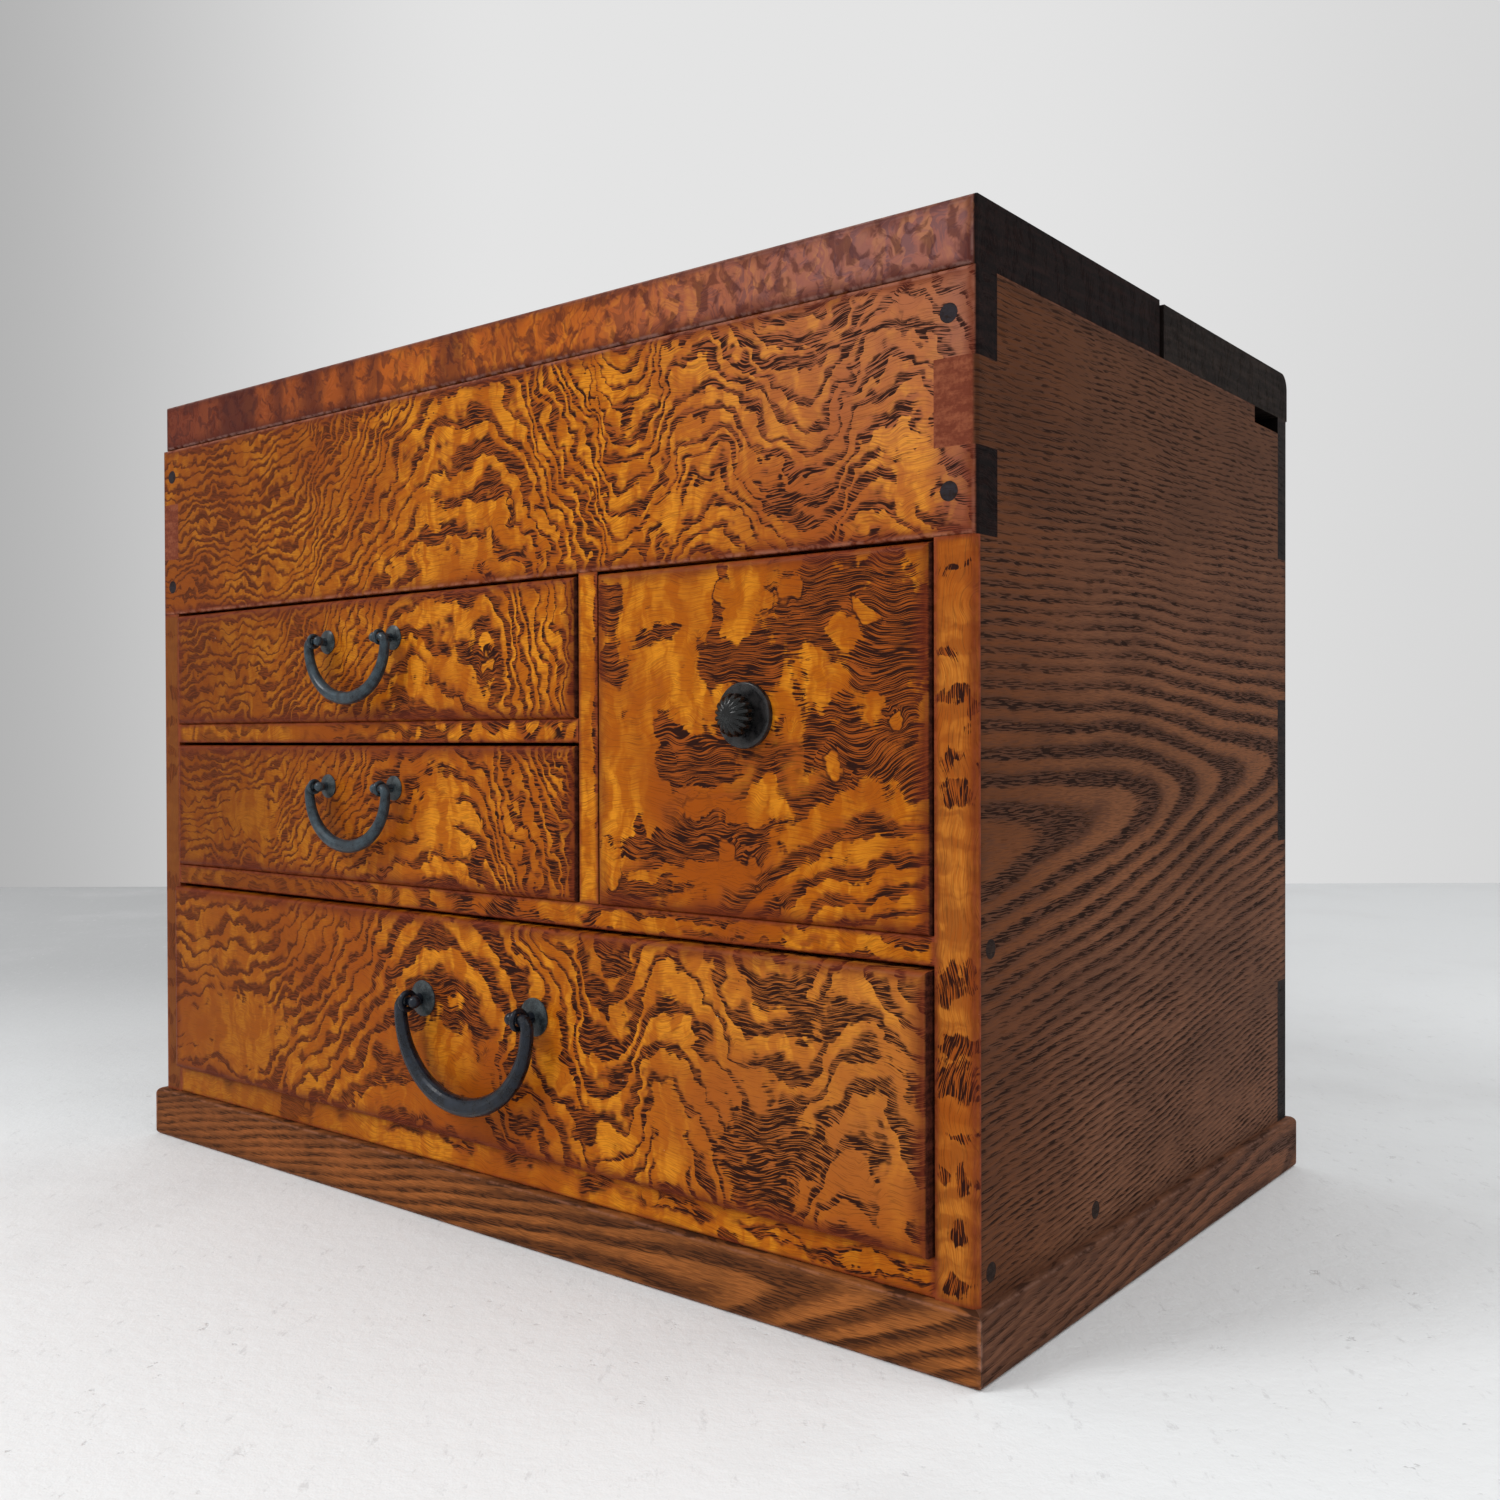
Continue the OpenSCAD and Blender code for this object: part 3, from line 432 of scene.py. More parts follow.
def addHills(field, place, hills):
    # each hill as (place in X and in Z, reach in X and in Z, lift), in mm
    for x, z, wide, tall, lift in hills:
        feeds = {"Field": field, "Place": place, "Centre": (x, 0.0, z), "Reach": (wide, 10.0, tall),
                 "Lift": lift}
        field = useGroup("softHill", feeds)["Field"]
    return field


def poresOf(along, across, depth, finish):
    feeds = {"Along": along, "Across": across, "Depth": depth, "Length": finish["poreLength"],
             "Spacing": finish["poreSpacing"], "Swing": finish["swing"]}
    return useGroup("poreLines", feeds)


def threadsOf(lines, dark, finish):
    # threads of pores, thicker and darker in the early wood
    level = timesPlus(dark, finish["pored"], lines)
    depth = timesPlus(dark, finish["deep"] - finish["thin"], finish["thin"])
    return times(smooth(level, 0.575, finish["threadTop"]), depth)


def lookingTo(part, side, low=0.5, high=0.9):
    # the faces that look to one side, from one part of their normal
    return smooth(times(part, side), low, high)


def handled(wood, place, facing, board, finish):
    # end grain, then grime, and worn wood with a painted highlight, along the edges of the other faces
    ends = {"Color": wood, "Place": place, "Facing": facing, "End": finish["end"],
            "Pale": finish["endPale"]}
    ended = useGroup("endGrain", ends)
    low, high = boardCorners(board)
    rim = useGroup("boardRim", {"Place": place, "Low": low, "High": high})["Distance"]
    plainFace = minus(1.0, ended["Mask"])
    wear = {"Color": ended["Color"], "Place": place, "Distance": rim, "Grime": finish["grime"],
            "Grime Reach": finish["grimeReach"],
            "Grime Amount": times(plainFace, finish["grimeAmount"]),
            "Rubbed And Highlight": finish["rubbed"], "Rubbed And Highlight Reach": finish["rubbedAndHighlightReach"],
            "Rubbed And Highlight Amount": times(plainFace, finish["rubbedAmount"])}
    return useGroup("rubbedAndHighlitEdges", wear), ended["Mask"], plainFace


def finishWood(shader, colour, roughness, threads, finish):
    feed(shader.inputs["Base Color"], colour)
    feed(shader.inputs["Roughness"], roughness)
    setShader(shader, {"Specular IOR Level": finish["specular"]})
    bumpFrom(shader, times(threads, -1.0), finish["bump"])


burlFinish = {
    # bright is the figure's gold, partly a painted sheen
    "bright": paint(210, 132, 26),
    "gold": paint(172, 92, 10),
    "amber": paint(150, 72, 10),
    "early": paint(144, 70, 20),
    "glaze": paint(112, 56, 6),     # painted shade over the late wood at the left end
    "glazed": 0.55,
    "shade": paint(92, 40, 9),      # painted shade over the early wood there
    "faded": 0.0,                   # how much weaker the figure is there
    "fade": (10.0, -110.0),         # where that begins and ends, mm
    "pore": paint(30, 13, 11),
    "end": paint(16, 11, 11),
    "endPale": paint(34, 21, 19),
    "endTint": None,                # from, to, colour, amount
    "haze": None,                   # bloomed lacquer and painted sheen: colour, amount, bottom, top
    "grime": paint(92, 34, 18), "grimeReach": 3.6, "grimeAmount": 0.78,
    # the worn pale edge is partly a painted highlight along the arrises
    "rubbed": paint(160, 78, 48), "rubbedAndHighlightReach": 1.3, "rubbedAmount": 0.4,
    "dust": paint(214, 190, 170), "dustAmount": 0.45,
    "shift": (0.0, 0.0, 0.0),       # moves the figure over the board, mm
    "flat": False,
    "along": 0,                     # axis of the grain
    "inside": 0.0,                  # painted shade on the side that meets the other half of the top
    "under": False,                 # painted shade underneath, nearly black
    "profiled": True, "ringScale": 1.0,
    "level": 0.8,                   # ring count where there is no profile
    "stir": 1.4, "stirScale": 0.028,
    "broad": 9.0, "middle": 5.2, "fine": 2.0,      # sway of the figure, mm
    "share": 0.5, "shareSwing": 1.9,               # dark part of each ring
    "hills": (),
    "eyes": 0.6, "eyeChance": 0.2, "eyeRadius": 2.4,
    "eyeLift": 1.8,                 # how far the threads bow out round an eye, mm
    "patches": (), "patchStir": 1.6, "patchScale": 0.13, "patchLevel": 0.0,
    "poreLength": 4.6, "poreSpacing": 0.2, "swing": 5.0, "pored": 0.13,
    "threadTop": 0.63, "deep": 0.96, "thin": 0.3,
    "roughness": 0.38, "specular": 0.05, "bump": 0.25,
}


def burlMaterial(name, board, settings):
    finish = dict(burlFinish, **settings)
    material, shader, place = startMaterial(name)
    local = vectorCalc("ADD", place, finish["shift"])
    axes = split(local)
    if finish["flat"]:
        # a board that lies flat shows its figure on top
        local = join(axes[0], axes[2], axes[1])
    elif finish["along"] == 2:
        # an upright board has its grain standing
        local = join(axes[2], axes[1], axes[0])
    sway = {"Place": local, "Broad": finish["broad"], "Middle": finish["middle"], "Fine": finish["fine"]}
    moved = useGroup("sway", sway)["Place"]
    rings = finish["level"]
    if finish["profiled"]:
        rings = times(useGroup("profileRings", {"Place": moved})["Rings"], finish["ringScale"])
    stir = minus(noise(local, finish["stirScale"], 2.0), 0.5)
    rings = timesPlus(stir, finish["stir"] * 2, rings)
    rings = addHills(rings, moved, finish["hills"])
    burls = useGroup("burlEyes", {"Place": moved, "Chance": finish["eyeChance"],
                                  "Radius": finish["eyeRadius"]})
    rings = timesPlus(burls["Eyes"], finish["eyes"], rings)
    x, y, z = split(local)
    pored = poresOf(x, timesPlus(burls["Near"], finish["eyeLift"], z), y, finish)
    lines = pored["Lines"]
    broad = noise(vectorCalc("ADD", local, (40.0, 15.0, 70.0)), 0.055, 3.0, 0.65)
    share = timesPlus(minus(broad, 0.5), finish["shareSwing"], finish["share"])
    dark = useGroup("ringBands", {"Rings": rings, "Lines": lines, "Share": share})["Dark"]
    if finish["patches"]:
        # whole patches of pores, or of plain late wood, with edges that follow the grain
        here = vectorCalc("SUBTRACT", moved, finish["shift"])
        cloud = minus(noise(local, finish["patchScale"], 3.0, 0.6), 0.5)
        field = timesPlus(cloud, finish["patchStir"], finish["patchLevel"])
        field = addHills(field, here, finish["patches"])
        field = timesPlus(minus(lines, 0.5), 0.5, field)
        dark = calc("MAXIMUM", dark, smooth(field, 0.42, 0.56))
        dark = times(dark, smooth(field, -0.56, -0.42))
    # burl eyes are plain discs with a dark outline
    dark = times(dark, timesPlus(burls["Disc"], -0.9, 1.0))
    # late wood: soft gold patches, partly a painted sheen, brightest where the grain dips
    glow = noise(vectorCalc("MULTIPLY", moved, (1.0, 0.3, 0.35)), 0.26, 2.0)
    late = mixColour(smooth(glow, 0.4, 0.62), finish["gold"], finish["bright"])
    stain = noise(local, 0.02, 3.0, 0.6)
    late = mixColour(smooth(stain, 0.42, 0.66), late, finish["amber"])
    late = mixColour(smooth(pored["Fibre"], 0.46, 0.62, 0.0, 0.5), late, finish["amber"])
    early = finish["early"]
    if finish["faded"]:
        # the figure is softer and the wood darker towards the left end of the front; the darkening is
        # painted shade
        left = smooth(axes[0], *finish["fade"])
        dark = times(dark, timesPlus(left, -finish["faded"], 1.0))
        late = mixColour(times(left, finish["glazed"]), late, finish["glaze"])
        early = mixColour(times(left, 0.8), finish["early"], finish["shade"])
    wood = mixColour(dark, late, early)
    if finish["endTint"]:
        # handling has stained the wood towards one end
        first, last, colour, amount = finish["endTint"]
        wood = mixColour(smooth(axes[0], first, last, 0.0, amount), wood, colour)
    if finish["haze"]:
        # the lacquer has bloomed a little towards the right end, and a painted sheen lightens it there
        colour, amount, bottom, top = finish["haze"]
        height = split(place)[2]
        hazeAndSheenVeil = times(smooth(axes[0], 40.0, 150.0), smooth(height, bottom, top))
        wood = mixColour(times(hazeAndSheenVeil, amount), wood, colour)
    # threads crowd round the eyes
    crowd = times(burls["Outline"], timesPlus(dark, 0.6, 0.1))
    threads = calc("MAXIMUM", threadsOf(lines, dark, finish), crowd)
    if finish["faded"]:
        threads = times(threads, timesPlus(left, -0.45, 1.0))
    wood = mixColour(threads, wood, finish["pore"])
    normal = split(addNode("TexCoord").outputs["Normal"])
    if "edge" in finish:
        wood = edgeFigure(wood, place, normal[1], finish["edge"])
    worn, ends, plainFace = handled(wood, place, normal[finish["along"]], board, finish)
    specks = useGroup("dustSpecks", {"Place": place})["Specks"]
    specks = times(specks, times(plainFace, finish["dustAmount"]))
    colour = mixColour(specks, worn["Color"], finish["dust"])
    if finish["inside"]:
        # painted shade: the face towards the other half of the top is nearly black
        colour = mixColour(lookingTo(normal[1], finish["inside"]), colour, finish["end"])
    # painted shade: the underside over the slot is nearly black
    if finish["under"]:
        colour = mixColour(lookingTo(normal[2], -1.0), colour, finish["end"])
    roughness = timesPlus(ends, 0.3, timesPlus(threads, 0.2, finish["roughness"]))
    roughness = timesPlus(worn["Rubbed And Highlight"], 0.1, roughness)
    finishWood(shader, colour, roughness, threads, finish)
    return material


lidEdge = {
    # place along the edge as a share of its length, how dark the stripe is
    "stripes": [(0, 0.5), (0.09, 0.3), (0.12, 0.95), (0.165, 0.9), (0.19, 0.2), (0.212, 0.85),
                (0.228, 0.25), (0.27, 0.9), (0.3, 0.2), (0.327, 0.8), (0.345, 0.15), (0.362, 0.7),
                (0.38, 0.1), (0.45, 0.15), (0.465, 0.75), (0.49, 0.65), (0.51, 0.05), (0.545, 0.3),
                (0.58, 0.05), (0.7, 0.12), (0.8, 0.3), (1, 0.35)],
    "length": 300,
    "warp": 7.0,           # how far the stripes stray, mm
    "bend": 14.0,          # how far the curls do
    "lean": 0.35,
    # darker at the left end, a painted shade; pale pink at the right end, worn lacquer with a painted
    # sheen
    "left": paint(114, 52, 34),
    "middle": paint(172, 86, 28),
    "right": paint(168, 116, 112),
    "stripe": paint(62, 26, 24),
}


def edgeFigure(wood, place, facing, edge):
    # curly stripes that stand upright on the front edge of the lid
    x, y, z = split(place)
    warp = minus(noise(place, 0.16, 2.0), 0.5)
    at = timesPlus(timesPlus(warp, edge["warp"], x), 1 / edge["length"], 0.5)
    stripe = curveNode(at, edge["stripes"])
    bent = timesPlus(warp, edge["bend"], z)
    curl = noise(join(timesPlus(bent, edge["lean"], x), y, bent), 0.24, 3.0, 0.6)
    # painted shade to the left, worn lacquer with a painted sheen to the right
    tone = mixColour(smooth(x, -150.0, -30.0), edge["left"], edge["middle"])
    tone = mixColour(smooth(x, 30.0, 130.0), tone, edge["right"])
    tone = mixColour(smooth(x, -80.0, 0.0, 0.1, 0.4), tone, wood)
    tone = mixColour(smooth(curl, 0.48, 0.62, 0.0, 0.62), tone, edge["stripe"])
    tone = mixColour(times(stripe, 0.85), tone, edge["stripe"])
    return mixColour(lookingTo(facing, -1.0, 0.35, 0.75), wood, tone)


plainFinish = {
    "late": paint(120, 74, 46),
    "far": paint(106, 66, 44),      # late wood away from the middle line
    "early": paint(90, 54, 35),
    "pore": paint(38, 24, 18),
    "end": paint(20, 15, 15),
    "endPale": paint(38, 28, 25),
    "grime": paint(56, 34, 24), "grimeReach": 5.0, "grimeAmount": 0.4,
    "rubbed": paint(112, 72, 54), "rubbedAndHighlightReach": 1.1, "rubbedAmount": 0.5,
    "slotShade": paint(12, 9, 8),      # painted shade on the inner face beside the ruler
    "looped": False,
    "middle": 0.0, "tilt": 0.0,     # middle line of the figure
    "sway": 1.0,
    "share": 0.66,
    "poreLength": 5.0, "poreSpacing": 0.3, "swing": 1.0, "pored": 0.1,
    "threadTop": 0.645, "deep": 0.75, "thin": 0.25,
    "roughness": 0.5, "specular": 0.03, "bump": 0.4,
}


def plainMaterial(name, board, along, across, settings):
    # along and across: 0, 1 or 2 for X, Y or Z of the board
    finish = dict(plainFinish, **settings)
    material, shader, place = startMaterial(name)
    axes = split(place)
    depth = axes[3 - along - across]
    feeds = {"Along": axes[along], "Across": axes[across], "Middle": finish["middle"],
             "Tilt": finish["tilt"], "Sway": finish["sway"]}
    rings = useGroup("loopRings" if finish["looped"] else "plainRings", feeds)["Rings"]
    rings = timesPlus(depth, 0.12, rings)
    pored = poresOf(axes[along], axes[across], depth, finish)
    lines = pored["Lines"]
    broad = minus(noise(place, 0.05, 2.0), 0.5)
    share = timesPlus(broad, 0.5, finish["share"])
    bands = {"Rings": rings, "Lines": lines, "Share": share, "Feather": 1.1, "Crisp": 0.2}
    dark = useGroup("ringBands", bands)["Dark"]
    # away from the middle of the figure the rings are close and even in tone
    line = timesPlus(axes[along], finish["tilt"], finish["middle"])
    away = calc("ABSOLUTE", minus(axes[across], line))
    worm = noise(vectorCalc("MULTIPLY", place, (1.0, 0.35, 1.0)), 0.11, 3.0, 0.65)
    broken = addNode("Clamp", {0: timesPlus(minus(worm, 0.5), 2.2, 0.8)}).outputs[0]
    dark = times(dark, mixValue(smooth(away, 18.0, 40.0), 1.0, broken))
    late = mixColour(smooth(away, 12.0, 45.0), finish["late"], finish["far"])
    if "low" in finish:
        # the sides are paler near the plinth, a painted sheen, darker near the top and redder near the
        # front
        late = mixColour(smooth(axes[2], 110.0, 40.0, 0.0, 0.8), late, finish["low"])
        late = mixColour(smooth(axes[2], 150.0, 215.0, 0.0, 0.8), late, finish["high"])
        late = mixColour(smooth(axes[1], -20.0, -85.0, 0.0, 0.7), late, finish["fore"])
    late = mixColour(smooth(pored["Fibre"], 0.42, 0.64, 0.0, 0.5), late, finish["early"])
    wood = mixColour(dark, late, finish["early"])
    threads = threadsOf(lines, dark, finish)
    wood = mixColour(threads, wood, finish["pore"])
    cloud = noise(vectorCalc("MULTIPLY", place, (1.0, 0.4, 1.0)), 0.03, 4.0, 0.65)
    wood = mixColour(smooth(cloud, 0.4, 0.72, 0.0, 0.38), wood, finish["grime"])
    normal = split(addNode("TexCoord").outputs["Normal"])
    if "rearEnd" in finish:
        # one end shows on the front and is brown, the other is as dark as the back
        rear = calc("GREATER_THAN", axes[along], 0.0)
        finish["end"] = mixColour(rear, finish["end"], finish["rearEnd"])
        finish["endPale"] = mixColour(rear, finish["endPale"], finish["rearPale"])
    colour = handled(wood, place, normal[along], board, finish)[0]["Color"]
    if "channel" in finish:
        # painted shade: the inner face beside the ruler is nearly black
        height = smooth(axes[2], finish["channel"] - 2, finish["channel"])
        inner = times(lookingTo(normal[1], -1.0), height)
        colour = mixColour(inner, colour, finish["slotShade"])
    roughness = timesPlus(threads, 0.2, finish["roughness"])
    finishWood(shader, colour, roughness, threads, finish)
    return material


ironFinish = {
    "dark": paint(10, 14, 21),
    "light": paint(26, 34, 46),
    "rust": paint(36, 34, 34),
    "metallic": 0.15, "roughness": 0.3, "specular": 0.2,
    "coat": 0.2, "coatRoughness": 0.14,
    "grain": 1.0, "dents": 0.15,
}


def ironMaterial(name, settings):
    finish = dict(ironFinish, **settings)
    material, shader, place = startMaterial(name)
    skin = useGroup("forgedSkin", {"Place": place, "Size": finish["grain"]})
    tone = mixColour(smooth(skin["Mottle"], 0.38, 0.64), finish["dark"], finish["light"])
    bloom = noise(place, 0.8, 4.0, 0.7)
    tone = mixColour(smooth(bloom, 0.58, 0.78, 0.0, 0.5), tone, finish["rust"])
    feed(shader.inputs["Base Color"], tone)
    low, high = finish["roughness"] - 0.1, finish["roughness"] + 0.15
    feed(shader.inputs["Roughness"], smooth(skin["Mottle"], 0.3, 0.7, low, high))
    setShader(shader, {"Metallic": finish["metallic"], "Specular IOR Level": finish["specular"],
                       "Coat Weight": finish["coat"], "Coat Roughness": finish["coatRoughness"]})
    bumpFrom(shader, skin["Height"], finish["dents"])
    return material


def dress(names, material):
    for name in names:
        for slot in nodes[name].material_slots:
            slot.material = material


def dressBurl(board, settings, name=None):
    dress([board], burlMaterial(name or board + "_burl", board, settings))


def dressPlain(board, along, across, settings, name=None):
    dress([board], plainMaterial(name or board + "_wood", board, along, across, settings))


# Fixed panel, lid and drawer fronts

# patches as hills: a lift above 0 is full of pores, below 0 plain gold
panelPatches = (
    (-5, 176, 20, 6, -1), (-14, 191, 8, 5, -0.9), (70, 184, 6, 8, -0.9),
    (96, 187, 5, 6, -0.8), (136, 184, 5, 10, -1), (105, 177, 10, 4, 0.8),
    (118, 213, 14, 4, 0.6), (60, 205, 4, 5, 0.6),
)
upperPatches = (
    (-18, 161, 8, 5, -0.8), (-17, 141, 9, 5, -0.9), (-2, 152, 5, 8, -0.7),
    (8, 148, 6, 5, 0.8), (-34, 140, 6, 4, 0.6),
)
middlePatches = (
    (-13, 108, 10, 15, -1), (-98, 105, 20, 10, -0.9), (1, 120, 4, 4, 0.8),
    (2, 97, 5, 6, 0.9), (-50, 97, 20, 3, 0.6),
)
widePatches = (
    (56, 78, 10, 4, 1), (103, 40, 13, 13, 1.1), (110, 72, 13, 5, 0.7),
    (42, 34, 6, 8, 0.7), (73, 38, 7, 15, -1), (72, 73, 6, 5, -0.8),
    (132, 34, 5, 9, -1), (-108, 40, 36, 12, -1), (0, 42, 22, 12, -0.8),
    (131, 60, 7, 5, -0.8),
)
tallPatches = (
    # dark blob left of the knob, then the large dark field at the top right
    (77.7, 123.2, 13, 8, 1.15), (70, 131, 5, 4, 0.8), (121, 156, 24, 12, 0.88),
    (92, 145, 12, 4.5, 1.0), (85.5, 157, 2.2, 10, 1.5), (72, 152, 9, 3, 0.8),
    (52, 147, 4.5, 5, 1.2), (52, 161, 4.5, 4, 1.2), (57, 135.6, 2.6, 4, 1.0),
    (62, 109.7, 2, 3.4, 0.9), (76, 104, 28, 3.2, 1.0), (113, 128, 12, 7, 0.85),
    (131, 138, 9, 16, 0.75), (60, 93, 14, 2, 0.7),
    # plain gold
    (78.2, 160, 6.5, 9, -1.2), (92, 160, 3.6, 8, -1.1), (56.5, 127.7, 9, 8, -0.9),
    (64, 141, 7, 4, -0.8), (91, 112.5, 22, 3.8, -1.2), (97, 119, 6, 4, -1.0),
    (62, 118, 6, 3.5, -0.7), (73, 97.5, 24, 1.8, -1.0), (120, 151.4, 4, 2.4, -1.0),
    (113.5, 140.5, 2.8, 4, -0.9), (105.5, 130, 2.6, 4.4, -1.0),
    (127.3, 134.5, 2.8, 3.2, -0.9),
)
drawerEnds = {"end": paint(44, 20, 15), "endPale": paint(84, 42, 30), "grimeReach": 4.6}
frontBoards = {
    "front_panel": {
        "shift": (0.0, 0.0, -222.5), "faded": 0.02, "patches": panelPatches,
        "endTint": (138.0, 147.0, paint(116, 58, 44), 0.75),
        # bloomed lacquer and painted sheen at the right end
        "haze": (paint(184, 132, 108), 0.3, 150.0, 222.0),
        # worn lacquer with a painted highlight along the top and right edges
        "rubbed": paint(178, 118, 94), "rubbedAmount": 0.5},
    "upper_drawer_front": dict(
        drawerEnds, shift=(10.0, 40.0, -182.0), faded=0.02, patches=upperPatches, eyeChance=0.1,
        # painted shade towards the left end
        glazed=0.7, glaze=paint(102, 48, 3)),
    "middle_drawer_front": dict(
        drawerEnds, shift=(12.0, 80.0, -140.0), faded=0.02, patches=middlePatches, eyeChance=0.1,
        # painted shade towards the left end
        glazed=0.75, glaze=paint(102, 48, 2)),
    "wide_drawer_front": dict(
        drawerEnds, shift=(7.0, 120.0, -82.0), faded=0.05, patches=widePatches, ringScale=0.62,
        # bloomed lacquer and painted sheen at the right end
        share=0.47, pored=0.15, haze=(paint(206, 142, 76), 0.24, 10.0, 50.0)),
    "tall_drawer_front": dict(
        drawerEnds, patches=tallPatches, patchScale=0.16, patchLevel=0.12, profiled=False,
        hills=((156, 70, 60, 32, -8.5),), level=0.76, stir=0.5, stirScale=0.07,
        shareSwing=0.4, broad=4.0, middle=3.0, eyeChance=0.5, eyeRadius=2.8, poreLength=7.0),
}
for board, settings in frontBoards.items():
    dressBurl(board, settings)

lidTint = {
    "shift": (30.0, 0.0, 0.0), "flat": True, "inside": 1.0, "edge": lidEdge,
    # worn lacquer with a painted highlight along the lid's edges
    "grime": paint(70, 28, 22), "rubbed": paint(184, 144, 132), "rubbedAndHighlightReach": 1.1,
    "rubbedAmount": 0.55,
}
topTint = {
    "shift": (30.0, 60.0, 0.0), "flat": True, "inside": -1.0, "under": True,
    "bright": paint(178, 108, 34), "gold": paint(148, 82, 22), "amber": paint(126, 64, 20),
    "early": paint(112, 56, 24), "pore": paint(32, 18, 14), "rubbed": paint(110, 74, 56),
    "end": paint(22, 17, 15), "endPale": paint(42, 34, 30),
}
dressBurl("lid_board", lidTint, "lid_burl")
dressBurl("rear_top_board", topTint, "top_burl")
print("fronts and lid dressed")

# Case boards

sideTint = {
    "looped": True, "middle": 113.7, "tilt": 0.09, "sway": 0.5, "pored": 0.12, "deep": 0.9,
    # the pale colour near the plinth is a painted sheen
    "late": paint(128, 80, 50), "far": paint(112, 72, 50), "low": paint(124, 84, 62),
    "high": paint(80, 49, 29), "fore": paint(94, 49, 19), "early": paint(86, 53, 36),
    "pore": paint(26, 16, 12), "grime": paint(44, 26, 18), "end": paint(106, 52, 36),
    "endPale": paint(136, 76, 52), "rearEnd": paint(46, 29, 22), "rearPale": paint(70, 46, 34),
}
dressPlain("side_right", 1, 2, sideTint)
dressPlain("side_left", 1, 2, sideTint)
dressPlain("back_panel", 0, 2, {"middle": 90.0, "channel": 216.0}, "back_wood")
plinthShape = {"middle": -16.0, "tilt": 0.24, "sway": 0.6, "rubbedAmount": 0.8}
plinthSideTint = dict(plinthShape, late=paint(124, 80, 56), far=paint(112, 74, 54),
                      early=paint(86, 55, 40), rubbed=paint(140, 104, 88), pore=paint(40, 26, 20))
plinthTint = dict(plinthShape, late=paint(164, 98, 48), far=paint(150, 88, 46),
                  early=paint(108, 62, 32), rubbed=paint(160, 108, 84))
dressPlain("plinth_front", 0, 2, plinthTint)
dressPlain("plinth_back", 0, 2, plinthSideTint)
dressPlain("plinth_left", 1, 2, plinthSideTint)
dressPlain("plinth_right", 1, 2, plinthSideTint)

railTint = {
    # faded here also brings in the painted shade towards the left end
    "profiled": False, "faded": 0.3, "level": 0.74, "stir": 1.2, "stirScale": 0.05,
    "shareSwing": 0.7, "share": 0.42, "eyeChance": 0.1, "broad": 6.0, "middle": 3.0,
    "grimeReach": 1.6,
}
rails = {
    "middle_rail": {
        # painted shade towards the left end
        "share": 0.52, "glazed": 0.75,
        "hills": ((-100, 85, 60, 12, 9.0), (90, 85, 50, 3, -1.4))},
    "bottom_rail": {
        "share": 0.34, "gold": paint(186, 104, 18),
        "hills": ((100, 19, 60, 2.5, -0.9), (-20, 21, 30, 2, -0.7))},
    "small_rail": {
        "share": 0.5, "stir": 2.4, "stirScale": 0.08, "shareSwing": 1.2,
        "hills": ((-20, 130, 12, 6, -0.6), (25, 130, 10, 6, -0.6))},
    "divider": {
        "patches": ((46.5, 151, 1.6, 22, 1.2), (46.5, 118, 1, 18, 0.9)),
        "patchStir": 1.0, "patchScale": 0.25, "stir": 0.3, "broad": 2.0},
}
for board, settings in rails.items():
    dressBurl(board, dict(railTint, **settings))

# the strips on the fronts of the sides: gold with small dark patches one over another,
# as (height, place across the box, half tall, half wide, lift) in mm
stileMarks = (
    (163, 146, 1.6, 5, 0.75), (144.8, 144.2, 2.4, 3.2, 1.0), (136.6, 145.4, 1.8, 4, 0.9),
    (133.5, 148.9, 3, 1.4, 1.0), (125, 145.8, 2.2, 4.5, 0.75), (118, 146.2, 3, 4.2, 1.1),
    (81.5, 144.2, 4, 3, 1.1), (82.3, 148.9, 3.4, 1.2, 1.0), (67.5, 146.6, 2.6, 4.4, 1.1),
    (59.8, 145.8, 3.6, 5, 1.15), (48.1, 147.5, 1.5, 4, 0.9), (39.2, 143.1, 1.6, 1.4, 1.1),
    (38.8, 147.7, 3.2, 2, 1.1), (27.2, 146.7, 2.8, 2.2, 1.0), (17.5, 147, 2.2, 3, 1.0),
)
stileTint = dict(railTint, along=2, patchStir=1.3, patchScale=0.3, stir=0.3, broad=3.0,
                 bright=paint(184, 112, 38), gold=paint(146, 82, 28), amber=paint(150, 72, 14),
                 # painted shade towards the left end of the box
                 glaze=paint(106, 56, 18), glazed=0.85, eyeChance=0.0)
for board, side in (("stile_left", -1), ("stile_right", 1)):
    marks = tuple((z, side * x, tall, wide, lift) for z, x, tall, wide, lift in stileMarks)
    endTint = (side * 147.2, side * 149.6, paint(128, 58, 18), 0.6)
    dressBurl(board, dict(stileTint, patches=marks, endTint=endTint))

innerTint = {
    "late": paint(186, 150, 108), "early": paint(160, 122, 82), "pore": paint(110, 80, 54),
    "end": paint(140, 106, 72), "endPale": paint(168, 132, 94), "grime": paint(140, 108, 76),
    "rubbed": paint(196, 164, 126), "deep": 0.5, "roughness": 0.6, "share": 0.3,
}
innerBoards = (
    # end of the name, axis of the grain, axis across it, middle line
    ("_drawer_left", 1, 2, 10.0), ("_drawer_right", 1, 2, 10.0), ("_drawer_back", 0, 2, 0.0),
    ("_drawer_bottom", 0, 1, -20.0), ("compartment_floor", 0, 1, -40.0),
    ("bottom_board", 0, 1, -40.0), ("_shelf", 0, 1, -40.0),
)
for name in nodes:
    for ending, along, across, middle in innerBoards:
        if name.endswith(ending):
            dressPlain(name, along, across, dict(innerTint, middle=middle))
